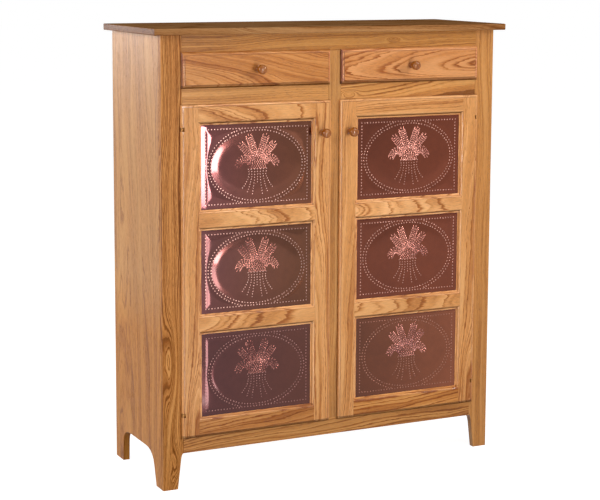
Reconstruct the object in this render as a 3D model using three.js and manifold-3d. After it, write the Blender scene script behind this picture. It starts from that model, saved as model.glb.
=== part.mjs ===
// Pie safe: a solid wood cupboard with two lipped doors under two lipped drawers. Each door is a
// frame of two stiles and four rails that holds three punched copper panels in grooves.
// Millimetres, +Z up, +X to the right as seen from the front, +Y to the back.
// The origin is on the floor, in the middle of the overall width and depth.
import * as THREE from "three";
import { mergeVertices } from "three/addons/utils/BufferGeometryUtils.js";
import Module from "manifold-3d";

const wasm = await Module();
wasm.setup();

// Case
const caseWidth = 1041;
const caseHeight = 1252; // floor to the underside of the top board
const caseDepth = 379; // front of the face frame to the back edges of the sides
const stock = 19; // planed thickness of the solid boards

// Clearances and cuts
const glueLine = 0.1; // between faces that are glued or lie on each other
const fitGap = 0.3; // round tenons, tongues and tails in their sockets
const overrun = 4; // how far a cut runs past the face it opens

// Top board
const topThick = 18;
const topSideOverhang = 26;
const topFrontOverhang = 24;
const topEase = 2.5; // radius of the eased edges

// Face frame
const frameThick = 19;
const outerStileWidth = 60.5;
const centreStileWidth = 40;
const topRailHeight = 50;
const drawerOpenHeight = 91;
const middleRailHeight = 53;
const bottomRailHeight = 48.5;
const bottomRailLift = 100.5; // floor to the rail's lower edge
const tenonThick = 6;
const tenonLength = 12;
const tenonShoulder = 9; // how far a tenon stays inside its rail's edges
const tenonEndGap = 1;

// Front feet, cut on the outer stiles
const footWidth = 43;
const footTaper = 10; // widening from the floor to the flare
const footTaperHeight = 84;

// Side panels and their arched feet
const archHeight = 96;
const frontFootDepth = 54; // along the floor, from the front of the face frame
const frontFootSplay = 16;
const frontFootStraight = 55;
const frontArchRun = 64;
const backFootDepth = 59;
const backFootSplay = 3;
const backFootStraight = 60;
const backArchRun = 58;
const dadoDepth = 6;

// Boards inside the case
const backThick = 6;
const backRabbet = 9.5;
const shelfThick = 19;
const shelfSetback = 32; // from the back of the face frame to a shelf's front edge
const lowerShelfTop = 470;
const upperShelfTop = 758;

// Lipped doors
const doorThick = 19;
const doorProud = 10; // how far the door's face stands ahead of the face frame
const doorLipGap = 1.6; // between the back of the lip and the face frame
const doorLipOverlap = 6.5;
const doorShoulderGap = 3.5; // between the rabbeted edge and the opening
const doorEdgeRadius = 6;
const doorEdgeStep = 1.2;
const doorEdgeFillet = 1.6; // flat fillet between the step and the round
const doorStileWidth = 60;
const doorRailHeight = 56.5;
const doorTenonLength = 24;
const doorTenonShoulder = 14;
const panelRows = 3;

// Moulded edge round each panel opening, from the door's face inwards
const stickStep = 1.2;
const stickRadius = 6;
const stickLedge = 4;
const panelDepth = 8; // from the door's face to the panel's face
const panelThick = 1;
const grooveDepth = 9;
const panelEndGap = 1;

// Punched work, carried as low raised beads
const beadHeight = 0.8;
const beadWidth = 3;
const borderInset = 13;
const ovalRadiusX = 149;
const ovalRadiusZ = 103;
const earLength = 40;
const earWidth = 15;
const sheafTieHeight = 4; // the tie's place over the middle of the panel
const tieWidth = 26;
const tieBand = 7;
const stemWidth = 2.4;
const stemDrop = 82;
const stemSpread = 50;
const stemPairs = 3;
const earReach = [34, 35, 30]; // tie to the root of each ear
const earTurn = [13, 42, 78]; // degrees from upright

// Knobs
const knobReach = 38;
const knobBaseRadius = 9;
const knobBaseThick = 3.5;
const knobNeckRadius = 5.5;
const knobNeckTop = 17;
const knobHeadRadius = 13.2;
const knobHeadHeight = 28; // base to the head's widest ring
const doorKnobDrop = 90; // below the door's top edge

// Hinges with a short three-part knuckle let into the door's lip
const pivotInset = 3; // from the lip's edge to the pin
const pivotDepth = 4.4; // from the door's face to the pin
const knuckleRadius = 2.8;
const knuckleHeight = 3.2;
const knuckleCount = 3;
const knuckleGap = 0.2;
const pinRadius = 1.3;
const pinGap = 0.15;
const leafThick = 1.2;
const leafHeight = 44;
const frameLeafDepth = 14;
const doorLeafRun = 26;
const hingeInset = 66; // from the door's top or bottom edge to the middle of the knuckle
const notchGap = 0.6; // over and under the knuckle

// Magnetic catches behind the tops of the doors
const catchWidth = 46;
const catchPlate = 4;
const catchRise = 20; // how far the plate reaches up the rail's back
const catchCaseHeight = 14;
const catchSide = 70; // from the middle of the case to the catch's middle

// Lipped drawers
const drawerProud = 10;
const drawerFrontThick = 19;
const drawerLipGap = 0.3;
const drawerLipOverlap = 3.5;
const drawerSideGap = 2; // between a drawer box and its opening
const drawerTopGap = 5;
const drawerRunGap = 0.3; // over the deck
const drawerEdgeRadius = 8;
const drawerEdgeStep = 1;
const drawerEdgeFillet = 1.5; // flat fillet between the step and the round
const drawerBoxStock = 12;
const drawerBoxDepth = 330; // front of the face frame to the back of the box
const drawerBottomThick = 5;
const drawerBottomLift = 10;
const drawerGroove = 6;
const tailCount = 3;
const tailLength = 8.5;
const tailShare = 0.56; // of the pitch, at the tail's wide end
const tailSlope = 0.14; // narrowing of each flank per length
const guideGap = 1; // beside a drawer box
const guideHeight = 19;

// Fineness of the round forms
const arcSteps = 5;
const workSteps = 3; // in the bowed lines of the punched work
const knobSides = 16;
const ovalSteps = 24;
const knuckleSides = 16;

// Places worked out from the sizes above, with y = 0 on the front of the face frame
const halfWidth = caseWidth / 2;
const frontReach = doorProud + glueLine + knobReach; // ahead of the face frame
const frameY = frontReach - (caseDepth + frontReach) / 2;
const openOuter = halfWidth - outerStileWidth;
const openInner = centreStileWidth / 2;
const openWidth = openOuter - openInner;
const openMiddle = (openOuter + openInner) / 2;
const drawerOpenTop = caseHeight - topRailHeight;
const drawerOpenBase = drawerOpenTop - drawerOpenHeight;
const doorOpenTop = drawerOpenBase - middleRailHeight;
const doorOpenBase = bottomRailLift + bottomRailHeight;
const sideInner = halfWidth - stock;
const boardFront = frameThick + glueLine;
const backFront = caseDepth - backThick;
const deckTop = drawerOpenBase;

// Materials
const oakPale = new THREE.MeshStandardMaterial({ color: 0xd9a569, roughness: 0.4 });
const oakCase = new THREE.MeshStandardMaterial({ color: 0xc48f57, roughness: 0.42 });
const oakInside = new THREE.MeshStandardMaterial({ color: 0xcfa677, roughness: 0.6 });
const plywood = new THREE.MeshStandardMaterial({ color: 0xc9a878, roughness: 0.65 });
const drawerWood = new THREE.MeshStandardMaterial({ color: 0xe0c498, roughness: 0.55 });
const knobWood = new THREE.MeshStandardMaterial({ color: 0xb9783f, roughness: 0.25 });
const copper = new THREE.MeshStandardMaterial({ color: 0x6e4136, roughness: 0.3, metalness: 0.9 });
const brass = new THREE.MeshStandardMaterial({ color: 0x8a6a3c, roughness: 0.4, metalness: 0.9 });
const catchPlastic = new THREE.MeshStandardMaterial({ color: 0x6b4a2e, roughness: 0.6 });

// Solids and cuts

function solid(geometry) {
  const bare = geometry.clone();
  bare.deleteAttribute("normal");
  bare.deleteAttribute("uv");
  const merged = mergeVertices(bare);
  const vertProperties = new Float32Array(merged.getAttribute("position").array);
  const triVerts = new Uint32Array(merged.getIndex().array);
  return new wasm.Manifold(new wasm.Mesh({ numProp: 3, vertProperties, triVerts }));
}

function geometryOf(body) {
  const mesh = body.getMesh();
  const geometry = new THREE.BufferGeometry();
  geometry.setAttribute("position", new THREE.BufferAttribute(new Float32Array(mesh.vertProperties), 3));
  geometry.setIndex(new THREE.BufferAttribute(new Uint32Array(mesh.triVerts), 1));
  const flat = geometry.toNonIndexed();
  flat.computeVertexNormals();
  return flat;
}

function cutAll(body, cutters) {
  return cutters.reduce((left, cutter) => left.subtract(cutter), body);
}

function addAll(body, pieces) {
  return pieces.reduce((whole, piece) => whole.add(piece), body);
}

// A board between two bounds on each axis, given in either order.
function board(xs, ys, zs) {
  const sizes = [xs, ys, zs].map(([a, b]) => Math.abs(b - a));
  const middles = [xs, ys, zs].map(([a, b]) => (a + b) / 2);
  return new THREE.BoxGeometry(...sizes).translate(...middles);
}

// A shape in (y, z) drawn out along X, or in (x, z) drawn out along Y.
const alongX = new THREE.Matrix4().makeBasis(
  new THREE.Vector3(0, 1, 0),
  new THREE.Vector3(0, 0, 1),
  new THREE.Vector3(1, 0, 0),
);
const alongY = new THREE.Matrix4().makeBasis(
  new THREE.Vector3(1, 0, 0),
  new THREE.Vector3(0, 0, 1),
  new THREE.Vector3(0, -1, 0),
);

function prism(shape, depth, curveSegments) {
  return new THREE.ExtrudeGeometry(shape, { depth, bevelEnabled: false, curveSegments });
}

function prismX(shape, [from, to], curveSegments = arcSteps) {
  const low = Math.min(from, to);
  return prism(shape, Math.abs(to - from), curveSegments).applyMatrix4(alongX).translate(low, 0, 0);
}

function prismY(shape, [from, to], curveSegments = arcSteps) {
  const high = Math.max(from, to);
  return prism(shape, Math.abs(to - from), curveSegments).applyMatrix4(alongY).translate(0, high, 0);
}

function polygon(points) {
  return new THREE.Shape(points.map(([a, b]) => new THREE.Vector2(a, b)));
}

// A closed body through upright rectangles one behind the other. Each ring is [grow, y]: the
// rectangle's bounds moved outwards by grow, at depth y. Corners come out mitred.
function mouldedSlab([x0, x1], [z0, z1], rings) {
  const positions = [];
  for (const [grow, y] of rings) {
    const left = x0 - grow;
    const right = x1 + grow;
    const low = z0 - grow;
    const high = z1 + grow;
    positions.push(left, y, low, right, y, low, right, y, high, left, y, high);
  }
  const corners = 4;
  const index = [0, 1, 2, 0, 2, 3];
  for (let ring = 0; ring + 1 < rings.length; ring += 1) {
    for (let corner = 0; corner < corners; corner += 1) {
      const a = ring * corners + corner;
      const b = ring * corners + ((corner + 1) % corners);
      index.push(a, a + corners, b + corners, a, b + corners, b);
    }
  }
  const last = (rings.length - 1) * corners;
  index.push(last, last + 2, last + 1, last, last + 3, last + 2);
  const geometry = new THREE.BufferGeometry();
  geometry.setAttribute("position", new THREE.Float32BufferAttribute(positions, 3));
  geometry.setIndex(index);
  return geometry;
}

// Rings of a quarter round that starts on a face at depth y, grows outwards and drops back.
function quarterRings(innerGrow, y, radius) {
  const rings = [];
  for (let step = 0; step <= arcSteps; step += 1) {
    const angle = (step / arcSteps) * (Math.PI / 2);
    rings.push([innerGrow + radius * Math.sin(angle), y + radius * (1 - Math.cos(angle))]);
  }
  return rings;
}

// Rings of a lipped edge: a step down from the face, a flat fillet and a quarter round.
function lipRings(face, step, fillet, radius) {
  const inset = radius + fillet;
  return [[-inset, face], [-inset, face + step], ...quarterRings(-radius, face + step, radius)];
}

function place(group, name, form, material) {
  const geometry = form instanceof THREE.BufferGeometry ? form : geometryOf(form);
  const mesh = new THREE.Mesh(geometry, material);
  mesh.name = name;
  group.add(mesh);
  return mesh;
}

const sideName = (side) => (side < 0 ? "left" : "right");
const bothSides = [-1, 1];

const pieSafe = new THREE.Group();
const cabinet = new THREE.Group();
cabinet.position.set(0, frameY, 0);
pieSafe.add(cabinet);

// Top board

function topBoard() {
  const quarter = quarterRings(-topEase, 0, topEase);
  const lower = quarter.map(([grow, drop]) => [grow, topThick - drop]).reverse();
  const reach = halfWidth + topSideOverhang;
  const flat = mouldedSlab([-reach, reach], [-topFrontOverhang, caseDepth], [...quarter, ...lower]);
  // The slab is made standing, then laid down: its depth runs from the upper face to the lower.
  const layDown = new THREE.Matrix4().makeBasis(
    new THREE.Vector3(1, 0, 0),
    new THREE.Vector3(0, 0, -1),
    new THREE.Vector3(0, 1, 0),
  );
  return flat.applyMatrix4(layDown).translate(0, 0, caseHeight + topThick);
}

// Face frame

// A tenon on the end of a rail, or on the end of a stile when upright is set. Grown by a
// clearance it is the cutter for its own mortise.
function tenon([low, high], at, direction, upright, grow) {
  const length = tenonLength + (grow ? tenonEndGap : 0);
  const run = [at - direction * overrun, at + direction * length];
  const across = [low + tenonShoulder - grow, high - tenonShoulder + grow];
  const middle = frameThick / 2;
  const ys = [middle - tenonThick / 2 - grow, middle + tenonThick / 2 + grow];
  return solid(upright ? board(across, ys, run) : board(run, ys, across));
}

const frameYs = [0, frameThick];
const topRailZs = [drawerOpenTop, caseHeight - glueLine];
const middleRailZs = [doorOpenTop, drawerOpenBase];
const bottomRailZs = [bottomRailLift, doorOpenBase];
const centreStileXs = [-openInner, openInner];

// Outer stile with its tapered foot: the taper flares into the lower edge of the bottom rail.
function outerStile(side) {
  const shape = new THREE.Shape();
  const foot = halfWidth - footWidth;
  const flare = foot - footTaper;
  shape.moveTo(side * halfWidth, 0);
  shape.lineTo(side * foot, 0);
  shape.lineTo(side * flare, footTaperHeight);
  const bend = flare - (footTaper * (bottomRailLift - footTaperHeight)) / footTaperHeight;
  shape.quadraticCurveTo(side * bend, bottomRailLift, side * openOuter, bottomRailLift);
  shape.lineTo(side * openOuter, caseHeight - glueLine);
  shape.lineTo(side * halfWidth, caseHeight - glueLine);
  const mortises = [topRailZs, middleRailZs, bottomRailZs].map((zs) =>
    tenon(zs, side * openOuter, side, false, fitGap),
  );
  return cutAll(solid(prismY(shape, frameYs)), mortises);
}

function longRail(zs, stileMortiseZ, direction) {
  const end = openOuter - glueLine;
  const rail = solid(board([-end, end], frameYs, zs));
  const tenons = bothSides.map((side) => tenon(zs, side * end, side, false, 0));
  const mortise = tenon(centreStileXs, stileMortiseZ, direction, true, fitGap);
  return addAll(rail, tenons).subtract(mortise);
}

function middleRail(side) {
  const outer = side * (openOuter - glueLine);
  const inner = side * (openInner + glueLine);
  const rail = solid(board([inner, outer], frameYs, middleRailZs));
  return addAll(rail, [
    tenon(middleRailZs, outer, side, false, 0),
    tenon(middleRailZs, inner, -side, false, 0),
  ]);
}

function centreStile() {
  const top = drawerOpenTop - glueLine;
  const base = doorOpenBase + glueLine;
  const stile = solid(board(centreStileXs, frameYs, [base, top]));
  const tenons = [
    tenon(centreStileXs, top, 1, true, 0),
    tenon(centreStileXs, base, -1, true, 0),
  ];
  const mortises = bothSides.map((side) =>
    tenon(middleRailZs, side * openInner, -side, false, fitGap),
  );
  return cutAll(addAll(stile, tenons), mortises);
}

for (const side of bothSides) {
  place(cabinet, `${sideName(side)}_face_stile`, outerStile(side), oakCase);
  place(cabinet, `${sideName(side)}_middle_rail`, middleRail(side), oakCase);
}
place(cabinet, "top_rail", longRail(topRailZs, drawerOpenTop, 1), oakCase);
place(cabinet, "bottom_rail", longRail(bottomRailZs, doorOpenBase, -1), oakCase);
place(cabinet, "centre_stile", centreStile(), oakCase);
place(cabinet, "top_board", topBoard(), oakCase);

// Boards let into the sides: name, height of the upper face, front edge and material
const innerBoards = [
  ["bottom_board", doorOpenBase, boardFront, oakInside],
  ["lower_shelf", lowerShelfTop, boardFront + shelfSetback, oakInside],
  ["upper_shelf", upperShelfTop, boardFront + shelfSetback, oakInside],
  ["drawer_deck", deckTop, boardFront, oakInside],
];

function innerBoard(top, front, grow) {
  const end = sideInner + dadoDepth - fitGap + grow;
  const back = backFront - glueLine + grow;
  return board([-end, end], [front - grow, back], [top - shelfThick - grow, top + grow]);
}

// Side panel with two feet and a low arch between them, dadoes for the boards and a rabbet for
// the back.
function sidePanel(side) {
  const shape = new THREE.Shape();
  const frontSplay = (frontFootSplay * archHeight) / frontFootStraight;
  const backSplay = (backFootSplay * archHeight) / backFootStraight;
  const frontFoot = frontFootDepth + frontFootSplay;
  const backFoot = caseDepth - backFootDepth - backFootSplay;
  shape.moveTo(boardFront, 0);
  shape.lineTo(frontFootDepth, 0);
  shape.lineTo(frontFoot, frontFootStraight);
  shape.quadraticCurveTo(frontFootDepth + frontSplay, archHeight, frontFoot + frontArchRun, archHeight);
  shape.lineTo(backFoot - backArchRun, archHeight);
  const backBend = caseDepth - backFootDepth - backSplay;
  shape.quadraticCurveTo(backBend, archHeight, backFoot, backFootStraight);
  shape.lineTo(caseDepth - backFootDepth, 0);
  shape.lineTo(caseDepth, 0);
  shape.lineTo(caseDepth, caseHeight - glueLine);
  shape.lineTo(boardFront, caseHeight - glueLine);
  const panel = solid(prismX(shape, [side * sideInner, side * halfWidth]));
  const dadoes = innerBoards.map(([, top, front]) => solid(innerBoard(top, front, fitGap)));
  const rabbet = board(
    [side * (sideInner - overrun), side * (sideInner + backRabbet)],
    [backFront - fitGap, caseDepth + overrun],
    [bottomRailLift - fitGap, caseHeight + overrun],
  );
  return cutAll(panel, [...dadoes, solid(rabbet)]);
}

for (const side of bothSides) {
  place(cabinet, `${sideName(side)}_side_panel`, sidePanel(side), oakCase);
}
for (const [name, top, front, material] of innerBoards) {
  place(cabinet, name, innerBoard(top, front, 0), material);
}
const backReach = sideInner + backRabbet - fitGap;
const backZs = [bottomRailLift, caseHeight - glueLine];
place(cabinet, "back_panel", board([-backReach, backReach], [backFront, caseDepth], backZs), plywood);

// Strips on the deck that keep the drawers straight
const boxOuter = openOuter - drawerSideGap;
const boxInner = openInner + drawerSideGap;
const guideYs = [boardFront, backFront - glueLine];
const guideZs = [deckTop + glueLine, deckTop + glueLine + guideHeight];
for (const side of bothSides) {
  const xs = [side * (boxOuter + guideGap), side * (sideInner - glueLine)];
  place(cabinet, `${sideName(side)}_drawer_guide`, board(xs, guideYs, guideZs), oakInside);
}
const centreGuideXs = [guideGap - boxInner, boxInner - guideGap];
place(cabinet, "centre_drawer_guide", board(centreGuideXs, guideYs, guideZs), oakInside);

// Magnetic catch: a plate on the back of the middle rail that carries a low case forward, down
// to the back of the door.
function doorCatch(side) {
  const plateFront = frameThick + glueLine;
  const plateBack = plateFront + catchPlate;
  const plateTop = doorOpenTop + catchRise;
  const magnetFront = doorThick - doorProud + fitGap;
  const magnetTop = doorOpenTop - doorShoulderGap;
  const magnetBase = magnetTop - catchCaseHeight;
  const shape = polygon([
    [plateFront, plateTop],
    [plateFront, magnetTop],
    [magnetFront, magnetTop],
    [magnetFront, magnetBase],
    [plateBack, magnetBase],
    [plateBack, plateTop],
  ]);
  const middle = side * catchSide;
  return prismX(shape, [middle - catchWidth / 2, middle + catchWidth / 2]);
}

for (const side of bothSides) {
  place(cabinet, `${sideName(side)}_door_catch`, doorCatch(side), catchPlastic);
}

// Knob, turned about its own axis, with the base at y = 0 and the head towards the front

function knob() {
  const path = new THREE.Path();
  path.moveTo(0, 0);
  path.lineTo(knobBaseRadius, 0);
  path.lineTo(knobBaseRadius, knobBaseThick);
  path.quadraticCurveTo(knobNeckRadius, knobBaseThick, knobNeckRadius, (knobBaseThick + knobNeckTop) / 2);
  path.lineTo(knobNeckRadius, knobNeckTop);
  path.quadraticCurveTo(knobHeadRadius, knobNeckTop, knobHeadRadius, knobHeadHeight);
  path.quadraticCurveTo(knobHeadRadius, knobReach, 0, knobReach);
  const turned = new THREE.LatheGeometry(path.getPoints(arcSteps), knobSides);
  const [x, y, z] = [new THREE.Vector3(1, 0, 0), new THREE.Vector3(0, -1, 0), new THREE.Vector3(0, 0, -1)];
  return turned.applyMatrix4(new THREE.Matrix4().makeBasis(x, y, z));
}

function placeKnob(group, name, x, proud, z) {
  const mesh = place(group, name, knob(), knobWood);
  mesh.position.set(x, -proud - glueLine, z);
}

// Punched panel, in its own frame: middle of the sheet, front face at y = 0

function openRing(outer, inner) {
  outer.holes.push(inner);
  return outer;
}

function rectangle(halfX, halfZ) {
  return polygon([[-halfX, -halfZ], [halfX, -halfZ], [halfX, halfZ], [-halfX, halfZ]]);
}

function oval(radiusX, radiusZ) {
  const path = new THREE.Shape();
  path.absellipse(0, 0, radiusX, radiusZ, 0, 2 * Math.PI, false, 0);
  return path;
}

// Head of grain: two bowed edges from its root to its tip.
function earShape(side, reach, turn) {
  const angle = THREE.MathUtils.degToRad(turn);
  const along = new THREE.Vector2(side * Math.sin(angle), Math.cos(angle));
  const across = new THREE.Vector2(along.y, -along.x).multiplyScalar(earWidth);
  const root = along.clone().multiplyScalar(reach).add(new THREE.Vector2(0, sheafTieHeight));
  const tip = root.clone().addScaledVector(along, earLength);
  const waist = root.clone().addScaledVector(along, earLength / 2);
  const shape = new THREE.Shape();
  shape.moveTo(root.x, root.y);
  shape.quadraticCurveTo(waist.x + across.x, waist.y + across.y, tip.x, tip.y);
  shape.quadraticCurveTo(waist.x - across.x, waist.y - across.y, root.x, root.y);
  return shape;
}

// A bead of even width along a bowed line.
function beadAlong(start, bend, end, width) {
  const curve = new THREE.QuadraticBezierCurve(start, bend, end);
  const near = [];
  const far = [];
  for (let step = 0; step <= workSteps; step += 1) {
    const share = step / workSteps;
    const point = curve.getPoint(share);
    const tangent = curve.getTangent(share);
    const off = new THREE.Vector2(-tangent.y, tangent.x).multiplyScalar(width / 2);
    near.push(point.clone().add(off));
    far.unshift(point.clone().sub(off));
  }
  return new THREE.Shape([...near, ...far]);
}

function stemShapes(side) {
  const shapes = [];
  for (let pair = 0; pair < stemPairs; pair += 1) {
    const share = (pair + 1 / 2) / stemPairs;
    const start = new THREE.Vector2((side * share * tieWidth) / 2, sheafTieHeight);
    const end = new THREE.Vector2(side * share * stemSpread, sheafTieHeight - stemDrop);
    const bend = new THREE.Vector2(start.x, sheafTieHeight - stemDrop / 2);
    shapes.push(beadAlong(start, bend, end, stemWidth));
  }
  for (const [pair, reach] of earReach.entries()) {
    const angle = THREE.MathUtils.degToRad(earTurn[pair]);
    const start = new THREE.Vector2(0, sheafTieHeight);
    const overlap = reach + beadWidth;
    const rise = overlap * Math.cos(angle);
    const end = new THREE.Vector2(side * overlap * Math.sin(angle), sheafTieHeight + rise);
    const bend = new THREE.Vector2(0, sheafTieHeight + reach / 2);
    shapes.push(beadAlong(start, bend, end, stemWidth));
  }
  return shapes;
}

function punchedPanel(openX, openZ) {
  const lap = grooveDepth - panelEndGap;
  const halfX = openX / 2 + lap;
  const halfZ = openZ / 2 + lap;
  const sheet = solid(board([-halfX, halfX], [0, panelThick], [-halfZ, halfZ]));
  const borderX = openX / 2 - borderInset;
  const borderZ = openZ / 2 - borderInset;
  const border = openRing(rectangle(borderX, borderZ), rectangle(borderX - beadWidth, borderZ - beadWidth));
  const tieXs = [-tieWidth / 2, tieWidth / 2];
  const tieZs = [sheafTieHeight - tieBand / 2, sheafTieHeight + tieBand / 2];
  const shapes = [border];
  for (const side of bothSides) {
    shapes.push(...stemShapes(side));
    for (const [pair, reach] of earReach.entries()) shapes.push(earShape(side, reach, earTurn[pair]));
  }
  const innerOval = oval(ovalRadiusX - beadWidth, ovalRadiusZ - beadWidth);
  const ring = openRing(oval(ovalRadiusX, ovalRadiusZ), innerOval);
  const raised = [-beadHeight, panelThick / 2];
  const beads = shapes.map((shape) => solid(prismY(shape, raised, workSteps)));
  beads.push(solid(prismY(ring, raised, ovalSteps / 2)), solid(board(tieXs, raised, tieZs)));
  return addAll(sheet, beads);
}

// Doors, each in its own frame: the middle of its opening, y = 0 on the front of the face frame

const doorHalfX = openWidth / 2 + doorLipOverlap;
const doorHalfZ = (doorOpenTop - doorOpenBase) / 2 + doorLipOverlap;
const doorBack = doorThick - doorProud;
const stickWidth = stickRadius + stickLedge;
const panelOpenX = 2 * (doorHalfX - doorStileWidth);
const panelOpenZ = (2 * doorHalfZ - (panelRows + 1) * doorRailHeight) / panelRows;
const panelOpenHalfX = panelOpenX / 2;
const shoulderInset = doorLipOverlap + doorShoulderGap;

// Lower edge of each panel opening, from the bottom one up
const panelBases = [];
for (let row = 0; row < panelRows; row += 1) {
  panelBases.push(-doorHalfZ + doorRailHeight + row * (panelOpenZ + doorRailHeight));
}

function doorBlank() {
  const edge = lipRings(-doorProud, doorEdgeStep, doorEdgeFillet, doorEdgeRadius);
  const rings = [...edge, [0, -doorLipGap], [-shoulderInset, -doorLipGap], [-shoulderInset, doorBack]];
  return solid(mouldedSlab([-doorHalfX, doorHalfX], [-doorHalfZ, doorHalfZ], rings));
}

function panelOpening(base) {
  const stepY = -doorProud + stickStep;
  const rings = [[stickWidth, -doorProud - overrun]];
  for (let step = 0; step <= arcSteps; step += 1) {
    const angle = (step / arcSteps) * (Math.PI / 2);
    const grow = stickLedge + stickRadius * (1 - Math.sin(angle));
    rings.push([grow, stepY + stickRadius * (1 - Math.cos(angle))]);
  }
  rings.push([0, stepY + stickRadius], [0, doorBack + overrun]);
  const bounds = [[-panelOpenHalfX, panelOpenHalfX], [base, base + panelOpenZ]];
  const panelY = panelDepth - doorProud;
  const groove = [
    [grooveDepth, panelY - fitGap],
    [grooveDepth, panelY + panelThick + fitGap],
  ];
  return solid(mouldedSlab(...bounds, rings)).add(solid(mouldedSlab(...bounds, groove)));
}

// Height range of each rail, from the bottom one up
const railRanges = [];
for (let rail = 0; rail <= panelRows; rail += 1) {
  const low = -doorHalfZ + rail * (panelOpenZ + doorRailHeight);
  railRanges.push([low, low + doorRailHeight]);
}

const seamX = panelOpenHalfX + stickWidth; // where the rails' faces meet the stiles'
const anyDepth = [-doorProud - overrun, doorBack + overrun];

function doorTenon([low, high], side, grow) {
  const middle = (doorBack - doorProud) / 2;
  const length = doorTenonLength + (grow ? tenonEndGap : 0);
  return solid(
    board(
      [side * (seamX - overrun), side * (seamX + length)],
      [middle - tenonThick / 2 - grow, middle + tenonThick / 2 + grow],
      [low + doorTenonShoulder - grow, high - doorTenonShoulder + grow],
    ),
  );
}

function doorStile(side, blank, openings, cuts) {
  const outer = doorHalfX + overrun;
  const tall = [-doorHalfZ - overrun, doorHalfZ + overrun];
  const region = solid(board([side * panelOpenHalfX, side * outer], anyDepth, tall));
  const seats = railRanges.map(([low, high]) =>
    solid(
      board(
        [side * (panelOpenHalfX - overrun), side * seamX],
        anyDepth,
        [low - (low > -doorHalfZ ? glueLine : overrun), high + (high < doorHalfZ ? glueLine : overrun)],
      ),
    ),
  );
  const mortises = railRanges.map((range) => doorTenon(range, side, fitGap));
  return cutAll(blank.intersect(region), [...openings, ...seats, ...mortises, ...cuts]);
}

function doorRail([low, high], blank, openings) {
  const end = seamX - glueLine;
  const region = solid(board([-end, end], anyDepth, [low, high]));
  const body = cutAll(blank.intersect(region), openings);
  return addAll(body, bothSides.map((side) => doorTenon([low, high], side, 0)));
}

const railNames = ["bottom_rail", "lower_rail", "upper_rail", "top_rail"];
const panelNames = ["lower", "middle", "upper"];

// Hinges, in the pin's frame: x runs outwards from the door, towards the side of the case

const pivotX = openOuter + doorLipOverlap - pivotInset;
const pivotY = pivotDepth - doorProud;
const faceY = -pivotY; // the face frame's front, seen from the pin
const openEdge = openOuter - pivotX; // the opening's edge, seen from the pin
const shoulderX = openEdge - doorShoulderGap;
const barrelHalf = (knuckleCount * knuckleHeight) / 2;

function drum(radius, [low, high]) {
  const body = new THREE.CylinderGeometry(radius, radius, high - low, knuckleSides);
  return solid(body.rotateX(Math.PI / 2).translate(0, 0, (low + high) / 2));
}

// Leaf on the case: the two outer knuckles with the pin, a tongue back to the face frame, a
// short strip over it and a plate round the corner, on the edge of the opening.
function frameLeaf(side) {
  const inner = knuckleHeight / 2;
  const stripBack = faceY - glueLine;
  const stripFront = stripBack - leafThick;
  const plateX = openEdge - glueLine;
  const strip = [side * (plateX - leafThick), (side * leafThick) / 2];
  const tongue = [(-side * leafThick) / 2, (side * leafThick) / 2];
  const plate = [side * (plateX - leafThick), side * plateX];
  const plateTop = leafHeight / 2;
  const pieces = [
    drum(pinRadius, [-barrelHalf, barrelHalf]),
    drum(knuckleRadius, [-barrelHalf, -inner - knuckleGap]),
    drum(knuckleRadius, [inner + knuckleGap, barrelHalf]),
    solid(board(tongue, [knuckleRadius / 2, stripBack], [-barrelHalf, -inner - knuckleGap])),
    solid(board(tongue, [knuckleRadius / 2, stripBack], [inner + knuckleGap, barrelHalf])),
    solid(board(plate, [stripFront, faceY + leafThick], [-barrelHalf, barrelHalf])),
    solid(board(plate, [faceY + fitGap, faceY + frameLeafDepth], [-plateTop, plateTop])),
  ];
  const face = solid(board(strip, [stripFront, stripBack], [-barrelHalf, barrelHalf]));
  return addAll(face, pieces);
}

// Leaf on the door: the middle knuckle, a strip through the notch in the lip, a plate on the
// rabbeted edge and another on the back of the door.
function doorLeaf(side) {
  const half = knuckleHeight / 2;
  const plateTop = leafHeight / 2;
  const edgeX = shoulderX + glueLine;
  const backY = doorBack - pivotY + glueLine;
  const edgePlate = [side * edgeX, side * (edgeX + leafThick)];
  const backPlate = [side * (shoulderX - doorLeafRun), side * (edgeX + leafThick)];
  const lipBack = faceY - doorLipGap;
  const stripYs = [knuckleRadius - leafThick, knuckleRadius];
  const tall = [-plateTop, plateTop];
  const pieces = [
    solid(board([side * edgeX, 0], stripYs, [-half, half])),
    solid(board(edgePlate, [knuckleRadius - leafThick, backY], [-half, half])),
    solid(board(edgePlate, [lipBack + fitGap, backY + leafThick], tall)),
    solid(board(backPlate, [backY, backY + leafThick], tall)),
  ];
  const bore = drum(pinRadius + pinGap, [-barrelHalf, barrelHalf]);
  return addAll(drum(knuckleRadius, [-half, half]), pieces).subtract(bore);
}

const hingeZs = [
  ["upper", doorOpenTop + doorLipOverlap - hingeInset],
  ["lower", doorOpenBase - doorLipOverlap + hingeInset],
];

// Notch in the lip for one knuckle, in the door's frame.
function hingeNotch(side, z) {
  const half = barrelHalf + notchGap;
  const middle = z - (doorOpenTop + doorOpenBase) / 2;
  const xs = [side * (doorHalfX - shoulderInset), side * (doorHalfX + overrun)];
  return solid(board(xs, [-doorProud - overrun, -doorLipGap + overrun], [middle - half, middle + half]));
}

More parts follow.
